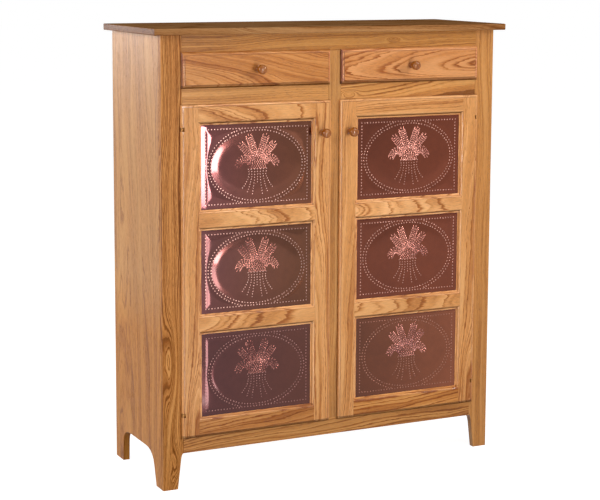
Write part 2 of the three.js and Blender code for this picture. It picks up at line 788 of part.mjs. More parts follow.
for (const side of bothSides) {
  const name = sideName(side);
  const door = new THREE.Group();
  door.position.set(side * openMiddle, 0, (doorOpenTop + doorOpenBase) / 2);
  cabinet.add(door);
  const blank = doorBlank();
  const openings = panelBases.map(panelOpening);
  const notches = hingeZs.map(([, z]) => hingeNotch(side, z));
  place(door, `${name}_door_hinge_stile`, doorStile(side, blank, openings, notches), oakPale);
  place(door, `${name}_door_latch_stile`, doorStile(-side, blank, openings, []), oakPale);
  for (const [rail, range] of railRanges.entries()) {
    place(door, `${name}_door_${railNames[rail]}`, doorRail(range, blank, openings), oakPale);
  }
  for (const [row, base] of panelBases.entries()) {
    const panel = punchedPanel(panelOpenX, panelOpenZ);
    const mesh = place(door, `${name}_${panelNames[row]}_punched_panel`, panel, copper);
    mesh.position.set(0, panelDepth - doorProud, base + panelOpenZ / 2);
  }
  const knobX = -side * (doorHalfX - doorStileWidth / 2);
  placeKnob(door, `${name}_door_knob`, knobX, doorProud, doorHalfZ - doorKnobDrop);
  for (const [level, z] of hingeZs) {
    const pin = new THREE.Group();
    pin.position.set(side * pivotX, pivotY, z);
    cabinet.add(pin);
    place(pin, `${name}_${level}_hinge_frame_leaf`, frameLeaf(side), brass);
    place(pin, `${name}_${level}_hinge_door_leaf`, doorLeaf(side), brass);
  }
}

// Drawers, each in its own frame: the middle of its opening's lower edge, y = 0 on the front of
// the face frame

const drawerHalf = openWidth / 2 + drawerLipOverlap;
const boxHalf = openWidth / 2 - drawerSideGap;
const boxTop = drawerOpenHeight - drawerTopGap;
const drawerFrontBack = drawerFrontThick - drawerProud;
const boxBackFront = drawerBoxDepth - drawerBoxStock;

// Outline of a drawer side in (y, z) with tails on both ends, grown by a clearance when it cuts
// its own sockets.
function tailedOutline(grow) {
  const pitch = (boxTop - drawerRunGap) / tailCount;
  const frontRoot = drawerFrontBack;
  const frontTip = drawerFrontBack - tailLength;
  const backRoot = boxBackFront;
  const backTip = drawerBoxDepth;
  const wide = (tailShare * pitch) / 2 + grow;
  const front = [];
  const back = [];
  for (let tail = 0; tail < tailCount; tail += 1) {
    const middle = drawerRunGap + (tail + 1 / 2) * pitch;
    const frontNarrow = wide - tailSlope * (frontRoot - frontTip);
    const backNarrow = wide - tailSlope * (backTip - backRoot);
    front.push([frontRoot, middle - frontNarrow], [frontTip - grow, middle - wide]);
    front.push([frontTip - grow, middle + wide], [frontRoot, middle + frontNarrow]);
    back.push([backRoot, middle - backNarrow], [backTip + grow, middle - wide]);
    back.push([backTip + grow, middle + wide], [backRoot, middle + backNarrow]);
  }
  const frontEdge = [[frontRoot, drawerRunGap], ...front, [frontRoot, boxTop]];
  const backEdge = [[backRoot, boxTop], ...back.reverse(), [backRoot, drawerRunGap]];
  return polygon([...frontEdge, ...backEdge]);
}

function drawerBottom(grow) {
  const half = boxHalf - drawerBoxStock + drawerGroove - fitGap + grow;
  const front = drawerFrontBack - drawerGroove + fitGap - grow;
  const low = drawerBottomLift - grow;
  const zs = [low, drawerBottomLift + drawerBottomThick + grow];
  return board([-half, half], [front, drawerBoxDepth + grow], zs);
}

function drawerSide(side, grow) {
  const outer = boxHalf + (grow ? overrun : 0);
  const inner = boxHalf - drawerBoxStock - grow;
  return solid(prismX(tailedOutline(grow), [side * inner, side * outer]));
}

function drawerFront() {
  const boxInset = drawerLipOverlap + drawerSideGap;
  const rings = [
    ...lipRings(-drawerProud, drawerEdgeStep, drawerEdgeFillet, drawerEdgeRadius),
    [0, -drawerLipGap],
    [-boxInset, -drawerLipGap],
    [-boxInset, drawerFrontBack],
  ];
  const zs = [-drawerLipOverlap, drawerOpenHeight + drawerLipOverlap];
  const slab = solid(mouldedSlab([-drawerHalf, drawerHalf], zs, rings));
  const sockets = bothSides.map((side) => drawerTails(side));
  return cutAll(slab, [...sockets, solid(drawerBottom(fitGap))]);
}

// Sockets in the drawer front for the front tails alone.
function drawerTails(side) {
  const reach = [drawerFrontBack - tailLength - overrun, drawerFrontBack + overrun];
  const xs = [side * (boxHalf - drawerBoxStock - fitGap), side * (boxHalf + fitGap)];
  const zone = solid(board(xs, reach, [drawerRunGap, boxTop]));
  return drawerSide(side, fitGap).intersect(zone);
}

for (const side of bothSides) {
  const name = `${sideName(side)}_drawer`;
  const drawer = new THREE.Group();
  drawer.position.set(side * openMiddle, 0, drawerOpenBase);
  cabinet.add(drawer);
  place(drawer, `${name}_front`, drawerFront(), oakPale);
  const groove = solid(drawerBottom(fitGap));
  for (const end of bothSides) {
    const where = end === side ? "outer" : "inner";
    place(drawer, `${name}_${where}_side`, drawerSide(end, 0).subtract(groove), drawerWood);
  }
  const backZ = [drawerBottomLift + drawerBottomThick + fitGap, boxTop];
  const backBoard = solid(board([-boxHalf, boxHalf], [boxBackFront + glueLine, drawerBoxDepth], backZ));
  const sockets = bothSides.map((end) => drawerSide(end, fitGap));
  place(drawer, `${name}_back`, cutAll(backBoard, sockets), drawerWood);
  place(drawer, `${name}_bottom`, drawerBottom(0), plywood);
  const middle = drawerOpenHeight / 2;
  placeKnob(drawer, `${name}_knob`, 0, drawerProud, middle);
}

export default pieSafe;
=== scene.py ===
# Looks of the pie safe: oak boards, punched copper panels, turned knobs and hinges.
# Metres, +Z up, +X to the right as seen from the front, +Y to the back. The named sizes of small
# things are in millimetres, and are multiplied by MM where they are used.
import math
import random

import bmesh
import bpy
import numpy as np
from mathutils import Matrix, Vector


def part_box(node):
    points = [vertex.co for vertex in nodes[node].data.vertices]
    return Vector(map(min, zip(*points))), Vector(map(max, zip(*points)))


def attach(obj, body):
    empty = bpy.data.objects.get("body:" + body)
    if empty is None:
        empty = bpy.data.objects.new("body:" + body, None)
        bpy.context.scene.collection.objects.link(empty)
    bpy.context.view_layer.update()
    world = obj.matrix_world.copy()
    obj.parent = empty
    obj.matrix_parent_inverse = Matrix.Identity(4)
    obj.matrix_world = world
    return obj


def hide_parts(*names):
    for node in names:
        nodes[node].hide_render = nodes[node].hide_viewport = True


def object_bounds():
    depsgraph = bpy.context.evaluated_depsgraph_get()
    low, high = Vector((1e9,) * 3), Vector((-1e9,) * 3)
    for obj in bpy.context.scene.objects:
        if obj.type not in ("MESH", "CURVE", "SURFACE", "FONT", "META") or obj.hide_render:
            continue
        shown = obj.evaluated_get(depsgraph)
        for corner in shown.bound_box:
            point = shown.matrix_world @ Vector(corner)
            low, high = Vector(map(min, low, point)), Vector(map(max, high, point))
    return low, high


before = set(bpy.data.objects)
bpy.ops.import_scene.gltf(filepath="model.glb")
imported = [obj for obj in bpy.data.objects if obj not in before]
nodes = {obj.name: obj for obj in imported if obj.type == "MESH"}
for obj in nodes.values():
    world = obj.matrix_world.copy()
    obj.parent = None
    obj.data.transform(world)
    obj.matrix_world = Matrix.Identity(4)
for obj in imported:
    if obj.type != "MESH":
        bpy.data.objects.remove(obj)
cad_low, cad_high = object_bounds()
MM = 0.001
SIDES = ("left", "right")
TURN = 2 * math.pi
WHITE = (1.0, 1.0, 1.0)


# Shader nodes of one tree, with short calls to add and join them
class Graph:
    def __init__(self, tree):
        self.tree = tree
        self.tree.nodes.clear()

    def feed(self, socket, value):
        if isinstance(value, bpy.types.NodeSocket):
            self.tree.links.new(value, socket)
        elif socket.type == "RGBA":
            socket.default_value = (*value[:3], 1.0)
        else:
            socket.default_value = value

    def add(self, kind, inputs=(), **settings):
        node = self.tree.nodes.new(kind)
        for name, value in settings.items():
            setattr(node, name, value)
        for key, value in dict(inputs).items():
            self.feed(node.inputs[key], value)
        return node

    def math(self, operation, *values, **settings):
        return self.add("ShaderNodeMath", enumerate(values), operation=operation, **settings).outputs[0]

    def plus(self, a, b):
        return self.math("ADD", a, b)

    def minus(self, a, b):
        return self.math("SUBTRACT", a, b)

    def times(self, a, b):
        return self.math("MULTIPLY", a, b)

    def per(self, a, b):
        return self.math("DIVIDE", a, b)

    def scaled(self, value, factor, base):
        return self.math("MULTIPLY_ADD", value, factor, base)

    def vector(self, operation, *values):
        return self.add("ShaderNodeVectorMath", enumerate(values), operation=operation).outputs[0]

    def combine(self, x, y, z):
        return self.add("ShaderNodeCombineXYZ", {0: x, 1: y, 2: z}).outputs[0]

    def parts(self, vector):
        return self.add("ShaderNodeSeparateXYZ", {0: vector}).outputs

    def lot(self, number):
        return self.add("ShaderNodeTexWhiteNoise", {"W": number}, noise_dimensions="1D").outputs

    def noise(self, vector, scale=1.0, detail=2.0, rough=0.5):
        inputs = {"Vector": vector, "Scale": scale, "Detail": detail, "Roughness": rough}
        return self.add("ShaderNodeTexNoise", inputs).outputs

    def specks(self, vector, size, detail=2.0, rough=0.5):
        # Noise whose specks have about this (width, length) along the grain.
        wide, long = size
        return self.noise(self.vector("MULTIPLY", vector, (1 / wide, 1 / wide, 1 / long)), 1.0, detail, rough)

    def ramp(self, value, stops):
        node = self.add("ShaderNodeValToRGB", {"Fac": value})
        ramp = node.color_ramp
        while len(ramp.elements) < len(stops):
            ramp.elements.new(1.0)
        for element, (place, colour) in zip(ramp.elements, stops):
            element.position = place
            element.color = (*colour, 1.0)
        return node.outputs[0]

    def slope(self, value, start, end, first=0.0, last=1.0):
        return self.ramp(value, [(start, grey(first)), (end, grey(last))])

    def mix(self, share, a, b, blend="MIX"):
        node = self.add("ShaderNodeMix", data_type="RGBA", blend_type=blend)
        self.feed(node.inputs["Factor"], share)
        colours = [s for s in node.inputs if s.type == "RGBA"]
        self.feed(colours[0], a)
        self.feed(colours[1], b)
        return next(s for s in node.outputs if s.type == "RGBA")

    def tinted(self, share, colour, tint):
        return self.mix(share, colour, self.mix(1.0, colour, tint, "MULTIPLY"))

    def bump(self, height, strength, distance):
        inputs = {"Height": height, "Strength": strength, "Distance": distance}
        return self.add("ShaderNodeBump", inputs).outputs[0]


class Shader(Graph):
    def __init__(self, name):
        self.material = bpy.data.materials.new(name)
        self.material.use_nodes = True
        super().__init__(self.material.node_tree)
        self.surface = self.add("ShaderNodeBsdfPrincipled")
        self.add("ShaderNodeOutputMaterial", {0: self.surface.outputs[0]})
        self.source = self.add("ShaderNodeTexCoord").outputs
        self.coords = self.source["Object"]

    def millimetres(self):
        return self.vector("MULTIPLY", self.coords, grey(1 / MM))

    def set(self, **values):
        for name, value in values.items():
            self.feed(self.surface.inputs[name.replace("_", " ")], value)


def grey(value):
    return (value, value, value)


def srgb(*values):
    # Linear colour of screen values from 0 to 255.
    out = []
    for value in values:
        v = value / 255
        out.append(v / 12.92 if v <= 0.04045 else ((v + 0.055) / 1.055) ** 2.4)
    return tuple(out)


def pair(*values):
    return srgb(*values[:3]), srgb(*values[3:])


def darker(colour, share):
    return tuple(c * share for c in colour)


def linked(name, data):
    piece = bpy.data.objects.new(name, data)
    bpy.context.scene.collection.objects.link(piece)
    return piece


# Oak

OAK_DOOR = (srgb(166, 96, 42), srgb(211, 146, 84), srgb(226, 166, 106))
OAK_CASE = (srgb(146, 88, 38), srgb(190, 131, 71), srgb(204, 149, 88))
OAK_INSIDE = (srgb(176, 120, 70), srgb(208, 160, 105), srgb(224, 182, 130))
DRAWER_WOOD = (srgb(196, 150, 100), srgb(222, 186, 138), srgb(232, 202, 158))

# Order of axes for (across, through, along) of a board
UPRIGHT = "xyz"
LEVEL = "zyx"
SIDEWAYS = "yxz"
FLAT = "yzx"
FLAT_DEEP = "xzy"
SIDE_LEVEL = "zxy"

# Sizes (width, length) of the grain's marks, in millimetres
DRIFT = (120, 700)  # the pith wanders
COARSE_WAVE = (16, 110)
FINE_WAVE = (2.6, 20)
PORE = (1.5, 14)
FLECK = (2.4, 18)
CLOUD = (60, 260)
BAND = (90, 320)  # groups of dark years
FADE = (30, 120)  # one year's line comes and goes
DRIFT_ACROSS, DRIFT_DEPTH = 60.0, 80.0  # reach of each wave, in millimetres
COARSE_REACH, FINE_REACH = 7.0, 2.2
LOG_LENGTH = 2000.0
SHIFT = 900  # how far along the log a board may lie

# Growth: years grow wide and narrow in spells of a few years, which change along the log.
SPELLS_PER_YEAR = 0.22
SPELL_LENGTH = 900
SPELL_REACH = 6.0
YEAR_LINE = [(0.0, grey(0.4)), (0.08, grey(1.0)), (0.22, grey(0.6)), (0.5, grey(0.0)), (1.0, grey(0.1))]
LINE_SHARPNESS, LINE_STRENGTH, LINE_LEAST = 1.2, 0.8, 0.04
FIGURE_STOPS = (0.34, 0.52, 0.72, 0.95)
PORE_STOPS = (0.50, 0.66)
EARLY_STOPS = (0.36, 0.62)

# Finish, with painted light and shade
END_SHADE = 0.4  # how much darker the ends of boards are
TOP_END_SHADE = 0.55
END_WARMTH = (1.2, 0.9, 0.65)  # the top board's ends against its face
EDGE_SHEEN = 0.45  # specular level of the lacquer on moulded edges
TOP_SHEEN = 0.03
TOP_PAINTED_EDGE_LIGHT = 0.18  # painted light: how much lighter the top board's edges are drawn than its face, which is tinted darker as painted shade
# painted highlight: how much lighter moulded edges are drawn
PAINTED_EDGE_LIGHT = 0.14
EDGE_POLISH = 0.4
# painted shade: how much darker edges that face down are drawn
UNDER_SHADE = 0.7
# painted shade on faces that turn up, for a front whose top edge shows no highlight
UPPER_SHADE = 0.2
SHADED_END_MAUVE = srgb(214, 134, 112)  # painted shade: the mauve that the drawer fronts' side-facing lip edges take in shadow
FOOT_FADE = (0.34, 0.46)  # shares of a board's height
FOOT_DULL = 0.5
RAMP_REACH = 10.0  # millimetres that a colour ramp spans
MOULD_FADE = (0.04, 0.08)  # how far a moulding lies behind the face, in ramp reaches
DOOR_STEP = 1.2  # depth of the step in a door's edges
DRAWER_STEP = 1.0
STEP_BLUR = 0.3
LIP_HEIGHT = 8.8
LIP_FADE = (0.46, 0.52)  # shares of twice the lip's height, from the base up


class Oak(Shader):
    # Solid wood: growth rings round a pith that lies behind the board's face and leans a little,
    # so they show as arches on wide faces, as lines on edges and as arcs on ends. Millimetres.
    def __init__(self, name, node, axes, tones, seed, specular):
        super().__init__(name)
        self.rng = random.Random(seed)
        self.seed = seed
        self.dark, self.mid, self.light = tones
        self.low, self.high = ([value / MM for value in corner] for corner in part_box(node))
        self.facing = self.parts(self.source["Normal"])
        self.place = self.parts(self.millimetres())
        index = ["xyz".index(axis) for axis in axes]
        middle = [(a + b) / 2 for a, b in zip(self.low, self.high)]
        self.across, self.through, self.along = (self.minus(self.place[i], middle[i]) for i in index)
        self.end_grain = self.slope(self.math("ABSOLUTE", self.facing[index[2]]), 0.6, 0.95)
        self.level = specular

    def cut_staves(self, width, pith_depth):
        # The board is glued up from staves, each sawn from another place in the log.
        place = self.per(self.plus(self.across, self.rng.uniform(0, width)), width)
        lots = self.parts(self.lot(self.plus(self.math("FLOOR", place), self.seed))["Color"])
        inside = self.times(self.minus(self.math("FRACT", place), 0.5), width)
        self.across = self.plus(inside, self.times(self.minus(lots[0], 0.5), width))
        self.through = self.plus(self.through, self.times(lots[1], pith_depth))
        self.along = self.plus(self.along, self.times(lots[2], LOG_LENGTH))
        return lots[1]

    def lay_grain(self):
        self.length = self.plus(self.along, self.rng.uniform(0, SHIFT))
        self.grain = self.combine(self.across, self.through, self.length)

    def radius(self, pith, tilt, skew, wander, knots):
        # Distance from the pith.
        slow = self.specks(self.grain, DRIFT, 1.0)["Color"]
        drift = self.parts(self.vector("SUBTRACT", slow, grey(0.5)))
        depth = self.plus(self.scaled(self.along, tilt, self.through), pith[1])
        depth = self.scaled(drift[1], DRIFT_DEPTH * wander, depth)
        aside = self.scaled(self.along, skew, self.minus(self.across, pith[0]))
        aside = self.scaled(drift[0], DRIFT_ACROSS * wander, aside)
        radius = self.math("SQRT", self.plus(self.times(aside, aside), self.times(depth, depth)))
        for knot_across, knot_along, half_across, half_along, lift in knots:
            # The rings swell round a hidden knot, given by its place, half sizes and height.
            u = self.per(self.minus(self.across, knot_across), half_across)
            v = self.per(self.minus(self.along, knot_along), half_along)
            away = self.plus(self.times(u, u), self.times(v, v))
            radius = self.scaled(self.math("EXPONENT", self.times(away, -1.0)), lift, radius)
        coarse = self.specks(self.grain, COARSE_WAVE)["Fac"]
        fine = self.specks(self.grain, FINE_WAVE)["Fac"]
        radius = self.scaled(self.minus(coarse, 0.5), COARSE_REACH * wander, radius)
        return self.scaled(self.minus(fine, 0.5), FINE_REACH, radius)

    def figure(self, radius, spacing, bold):
        # Near 0 in pale wood, near 1 in the dark line of a year.
        ring = self.per(radius, spacing)
        spell = self.combine(ring, self.times(self.length, 1 / SPELL_LENGTH), self.seed)
        ring = self.scaled(self.noise(spell, SPELLS_PER_YEAR, 1.0)["Fac"], SPELL_REACH, ring)
        wide, long = BAND
        places = self.combine(ring, self.times(self.across, 1 / wide), self.times(self.length, 1 / long))
        bands = self.noise(places, 0.5, 3.0, 0.6)["Fac"]
        wide, long = FADE
        places = self.combine(self.times(self.across, 1 / wide), ring, self.times(self.length, 1 / long))
        fade = self.noise(places)["Fac"]
        year = self.math("POWER", self.lot(self.math("FLOOR", ring))["Value"], LINE_SHARPNESS / bold)
        strength = self.times(year, self.times(fade, LINE_STRENGTH * bold))
        line = self.times(self.ramp(self.math("FRACT", ring), YEAR_LINE), self.plus(strength, LINE_LEAST))
        return self.plus(bands, self.minus(line, 0.05))

    def paint(self, figure, contrast):
        # Colour by the figure, with dark pores, most of all in the early wood.
        tones = (self.light, self.mid, self.dark, darker(self.dark, 0.7))
        colour = self.ramp(figure, list(zip(FIGURE_STOPS, tones)))
        if contrast < 1:
            colour = self.mix(contrast, self.mid, colour)
        early = self.slope(figure, *EARLY_STOPS, 0.25, 1.0)
        pores = self.specks(self.grain, PORE, rough=0.6)["Fac"]
        self.pores = self.times(self.slope(pores, *PORE_STOPS), early)
        self.colour = self.mix(self.times(self.pores, 0.55), colour, darker(self.dark, 0.6))

    def stain(self, tone, gloss, end_shade):
        cloud = self.specks(self.grain, CLOUD, 3.0)["Fac"]
        flecks = self.specks(self.grain, FLECK)["Fac"]
        self.shade = self.scaled(cloud, 0.34, 0.83)
        self.shade = self.scaled(self.minus(flecks, 0.5), 0.4, self.shade)
        if tone is not None:
            self.shade = self.scaled(self.minus(tone, 0.5), 0.16, self.shade)
        self.darken(self.end_grain, end_shade)
        self.polish = self.scaled(self.pores, 0.25, gloss)

    def darken(self, mask, amount):
        self.shade = self.times(self.shade, self.scaled(mask, -amount, 1.0))

    def dull(self, mask, amount=1.0):
        self.level = self.times(self.level, self.scaled(mask, -amount, 1.0))

    def mould(self, sunk, sheen):
        # Whatever lies behind the show face is moulding, and lacquered thicker.
        moulded = self.slope(sunk, *MOULD_FADE)
        self.level = self.scaled(moulded, sheen - self.level, self.level)
        self.polish = self.times(self.polish, self.scaled(moulded, -EDGE_POLISH, 1.0))
        return moulded

    def finish_top_with_painted_light(self):
        sunk = self.per(self.minus(self.high[2], self.place[2]), RAMP_REACH)
        moulded = self.mould(sunk, TOP_SHEEN)
        # Painted light: the top's edges are drawn lighter than its darkened face.
        self.darken(moulded, -TOP_PAINTED_EDGE_LIGHT)
        self.colour = self.tinted(self.end_grain, self.colour, END_WARMTH)

    def finish_lip_with_painted_light(self, step, base, side_shade, top_edge_painted_shade):
        sunk = self.per(self.minus(self.place[1], self.low[1]), RAMP_REACH)
        moulded = self.mould(sunk, EDGE_SHEEN)
        # Painted highlight: mouldings are drawn lighter, standing in for the sheen on their rounded edges.
        self.shade = self.scaled(moulded, PAINTED_EDGE_LIGHT, self.shade)
        # Painted shade: an edge that faces down is drawn darker, as if in its own shadow, and its sheen is
        # turned down; so is all the moulding along the base, where the lip's shadow falls.
        under = self.slope(self.times(self.facing[2], -1.0), 0.08, 0.5)
        if base:
            above = self.minus(self.place[2], self.low[2])
            near = self.slope(self.per(above, 2 * LIP_HEIGHT), *LIP_FADE, 0.6, 0.0)
            under = self.math("MAXIMUM", under, self.times(near, moulded))
        self.darken(under, UNDER_SHADE)
        self.dull(under)
        if side_shade:
            # Painted shade: faces that turn to the left, away from the key light, are drawn darker and shine
            # less.
            leftward = self.slope(self.times(self.facing[0], -1.0), 0.2, 0.6)
            self.darken(leftward, side_shade)
            self.dull(leftward, side_shade)
            # Painted shade: side-facing ends take a mauve tint, the colour their lip edges show in shadow.
            end = self.slope(self.math("ABSOLUTE", self.facing[0]), 0.1, 0.5, 0.0, side_shade)
            self.colour = self.mix(end, self.colour, SHADED_END_MAUVE)
        if top_edge_painted_shade:
            # Painted shade: faces that turn up are drawn darker and lose their sheen, so the top edge shows
            # no highlight.
            over = self.slope(self.facing[2], 0.1, 0.6, 0.0, top_edge_painted_shade)
            self.darken(over, UPPER_SHADE)
            self.dull(over)
        # Painted shade: the corner of the step is drawn darker, as if in shadow.
        reach = (step - STEP_BLUR, step, step + STEP_BLUR)
        corner = [(place / RAMP_REACH, grey(peak)) for place, peak in zip(reach, (0.0, 0.55, 0.0))]
        self.colour = self.mix(self.ramp(sunk, corner), self.colour, darker(self.dark, 0.5))

    def tint_foot(self, tint):
        # Near the floor the colour takes a tint and shines less. On the side panels this is painted shade:
        # they are drawn warmer and deeper near the floor, where less of the lamps' sheen reaches.
        near = self.slope(self.per(self.place[2], self.high[2]), *FOOT_FADE, 1.0, 0.0)
        self.colour = self.tinted(near, self.colour, tint)
        self.dull(near, FOOT_DULL)

    def close(self, tint):
        red, green, blue = (self.times(self.shade, share) for share in tint)
        self.set(Base_Color=self.mix(1.0, self.colour, self.combine(red, green, blue), "MULTIPLY"))
        self.set(Roughness=self.polish, Specular_IOR_Level=self.level)
        self.set(Normal=self.bump(self.times(self.pores, -1.0), 0.25, 0.2 * MM))


def oak(name, node, axes, tones, seed, pith=(0.0, 70.0), tilt=0.06, spacing=5.0, skew=0.0,
        staves=0.0, contrast=1.0, wander=1.0, bold=1.0, knots=(), gloss=0.26, specular=0.2,
        tint=WHITE, step=0.0, side_shade=0.0, top_edge_painted_shade=0.0, foot=None, top=False):
    wood = Oak(name, node, axes, tones, seed, specular)
    tone = wood.cut_staves(staves, pith[1]) if staves else None
    wood.lay_grain()
    radius = wood.radius(pith, tilt, skew, wander, knots)
    wood.paint(wood.figure(radius, spacing, bold), contrast)
    wood.stain(tone, gloss, TOP_END_SHADE if top else END_SHADE)
    if top:
        wood.finish_top_with_painted_light()
    if step:
        base = any(word in node for word in ("bottom_rail", "stile", "drawer_front"))
        wood.finish_lip_with_painted_light(step, base, side_shade, top_edge_painted_shade)
    if foot:
        wood.tint_foot(foot)
    wood.close(tint)
    return wood.material


# Boards: a copy of each CAD board with eased edges

def board(node, body, material, ease=0.6, name="board"):
    mesh = nodes[node].data.copy()
    bm = bmesh.new()
    bm.from_mesh(mesh)
    bmesh.ops.remove_doubles(bm, verts=bm.verts, dist=0.002 * MM)
    bmesh.ops.dissolve_limit(bm, angle_limit=math.radians(0.5), verts=bm.verts, edges=bm.edges)
    bmesh.ops.recalc_face_normals(bm, faces=bm.faces)
    bm.to_mesh(mesh)
    bm.free()
    mesh.materials.clear()
    mesh.materials.append(material)
    piece = linked(f"{node}_{name}", mesh)
    bevel = piece.modifiers.new("eased", "BEVEL")
    bevel.width = ease * MM
    bevel.segments = 2
    bevel.limit_method = "ANGLE"
    bevel.angle_limit = math.radians(35)
    bevel.use_clamp_overlap = True
    mesh.shade_smooth()
    mesh.set_sharp_from_angle(angle=math.radians(50))
    weighted = piece.modifiers.new("weighted", "WEIGHTED_NORMAL")
    weighted.keep_sharp = True
    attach(piece, body)
    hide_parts(node)


def dressed(node, body, slot, axes, tones, seed, ease=0.6, kind="oak", **look):
    board(node, body, oak(f"{kind}_{node}", node, axes, tones, seed, **look), ease)


def case_boards():
    # The side panels' foot tint is painted shade, deeper and warmer toward the floor.
    side = dict(pith=(30, 60), tilt=0.05, contrast=0.75, gloss=0.4, specular=0.3,
                foot=(1.0, 0.88, 0.6), tint=(1.02, 0.97, 0.73))
    looks = [
        # The top board's tint darkens it: painted shade, for a face that gets little light from above.
        ("top_board", FLAT, 3, dict(
            staves=92, tilt=0.05, specular=0.0, gloss=0.5, tint=(0.6, 0.61, 0.74), top=True)),
        ("left_side_panel", SIDEWAYS, 12, dict(staves=104, **side)),
        ("right_side_panel", SIDEWAYS, 21, dict(staves=98, **side)),
        ("left_face_stile", UPRIGHT, 5, dict(
            pith=(40, 30), tilt=0.015, spacing=3.4, bold=2.3, gloss=0.4, specular=0.1,
            knots=[(-6, -268, 20, 112, 36), (12, -560, 14, 60, 16)],
            foot=(1.07, 1.09, 1.1), tint=(1.03, 0.94, 0.84))),
        ("right_face_stile", UPRIGHT, 6, dict(
            pith=(-70, 25), tilt=0.01, spacing=3.2, contrast=0.8, tint=(1.04, 0.99, 0.94))),
        ("centre_stile", UPRIGHT, 7, dict(pith=(60, 20), tilt=0.01, spacing=3.0, contrast=0.8)),
        ("top_rail", LEVEL, 8, dict(
            pith=(50, 35), tilt=0.02, spacing=3.6, contrast=0.8, bold=1.2,
            knots=[(6, 185, 9, 32, 16)], tint=(0.94, 0.88, 0.72))),
        ("left_middle_rail", LEVEL, 9, dict(
            pith=(60, 20), tilt=0.01, spacing=3.2, contrast=0.6, tint=(1.12, 1.12, 1.12))),
        ("right_middle_rail", LEVEL, 10, dict(
            pith=(30, 45), tilt=0.07, spacing=7, bold=1.3,
            knots=[(-4, -195, 10, 26, 22)], tint=(1.12, 1.06, 0.98))),
        ("bottom_rail", LEVEL, 11, dict(pith=(30, 40), tilt=0.03, bold=1.4, tint=(1.0, 0.93, 0.83))),
    ]
    for node, axes, seed, look in looks:
        dressed(node, "case", "oak_case", axes, OAK_CASE, seed, ease=0.5, **look)
    for seed, node in enumerate(("bottom_board", "lower_shelf", "upper_shelf", "drawer_deck"), 40):
        dressed(node, "case", "oak_inside", FLAT, OAK_INSIDE, seed, ease=0.8, staves=95, gloss=0.45)
    for seed, place in enumerate(("left", "centre", "right"), 50):
        dressed(f"{place}_drawer_guide", "case", "oak_inside", FLAT_DEEP, OAK_INSIDE, seed, gloss=0.5)
    dressed("back_panel", "case", "plywood", UPRIGHT, OAK_INSIDE, 55, ease=0.3, kind="ply", staves=340,
            pith=(0, 160), wander=0.6, contrast=0.7, gloss=0.5)


def door_boards():
    parts = {
        "hinge_stile": (UPRIGHT, 60, dict(pith=(26, 50), tilt=0.02, spacing=3.4)),
        "latch_stile": (UPRIGHT, 61, dict(pith=(-20, 40), tilt=0.03, spacing=3.6)),
        "top_rail": (LEVEL, 70, dict(pith=(-12, 75), tilt=0.16, spacing=5.5)),
        "upper_rail": (LEVEL, 71, dict(pith=(0, 60), tilt=0.12, tint=(1.09, 1.14, 1.22))),
        "lower_rail": (LEVEL, 72, dict(pith=(10, 70), tilt=0.10)),
        # The bottom rails of both doors are tinted darker: partly a darker board, partly painted shade where
        # less light reaches near the floor.
        "bottom_rail": (LEVEL, 73, dict(pith=(34, 60), tilt=0.05, bold=1.4, tint=(0.78, 0.68, 0.53))),
    }
    own = {
        "right_door_top_rail": dict(pith=(40, 45), tilt=0.03, spacing=4, contrast=0.8),
        "right_door_latch_stile": dict(pith=(34, 50)),
        "right_door_upper_rail": dict(tint=(1.13, 1.21, 1.4)),
        "right_door_bottom_rail": dict(tint=(0.87, 0.78, 0.58)),
    }
    for offset, side in zip((0, 20), SIDES):
        for part, (axes, seed, look) in parts.items():
            node = f"{side}_door_{part}"
            dressed(node, f"{side}_door", "oak_door", axes, OAK_DOOR, seed + offset, ease=0.4,
                    step=DOOR_STEP, **{**look, **own.get(node, {})})


def drawer_boards():
    fronts = {
        "left": dict(pith=(-60, 60), tilt=0.12, skew=0.12, seed=101, contrast=0.9, top_edge_painted_shade=1.0,
                     tint=(0.81, 0.69, 0.55)),
        "right": dict(pith=(-4, 44), tilt=-0.09, spacing=5.5, skew=-0.03, seed=102, bold=1.2, wander=0.7,
                      tint=(0.9, 0.8, 0.78)),
    }
    rest = (("outer_side", SIDE_LEVEL, 110), ("inner_side", SIDE_LEVEL, 111), ("back", LEVEL, 115))
    for side in SIDES:
        body = f"{side}_drawer"
        dressed(f"{body}_front", body, "oak_door", LEVEL, OAK_DOOR, ease=0.4, step=DRAWER_STEP,
                side_shade=0.45, **fronts[side])
        for part, axes, seed in rest:
            dressed(f"{body}_{part}", body, "drawer_wood", axes, DRAWER_WOOD, seed, kind="wood", gloss=0.5)
        dressed(f"{body}_bottom", body, "plywood", FLAT_DEEP, DRAWER_WOOD, 118, ease=0.3, kind="ply",
                staves=300, pith=(0, 150), gloss=0.5)


# Punched copper panels. The design is laid out in millimetres from the middle of a sheet.

BORDER = (153.5, 103.0)
OUTER_OVAL = (146.5, 106.5)
INNER_OVAL = (138.0, 97.0)
ROW_PITCH = 9.0
OUTER_OVAL_GAP = 2.5  # between the border and the nearest punch of the outer oval
PUNCH_RADIUS = 2.1
STEMS = 3  # on each side of the middle one
STEM_PITCH = 7.4
STEM_PUNCH_RADIUS = 1.8
STEM_TOP = (9.2, -10.0)  # step from stem to stem, and height
STEM_BEND = (6.2, -30.0)
STEM_FOOT = (15.0, -81.0)
STEM_FOOT_LIFT = 2.2
MIDDLE_STEM_FOOT = (0.0, -46.0)
EARS = [
    ((6.0, 26.0), (14.0, 50.0), (24.0, 76.0)),
    ((13.0, 20.0), (30.0, 36.0), (47.0, 56.0)),
    ((22.0, 12.0), (44.0, 30.0), (56.0, 6.0)),
]
SEED_PITCH = 6.0
SEED_HALF_WIDTH = 1.7
EAR_SPREAD = math.radians(36)
EAR_ROWS = [(3.6, 5.0), (8.6, 8.0)]  # distance from the ear's middle line, and length of a seed
EAR_MIDDLE_SEED = 4.6
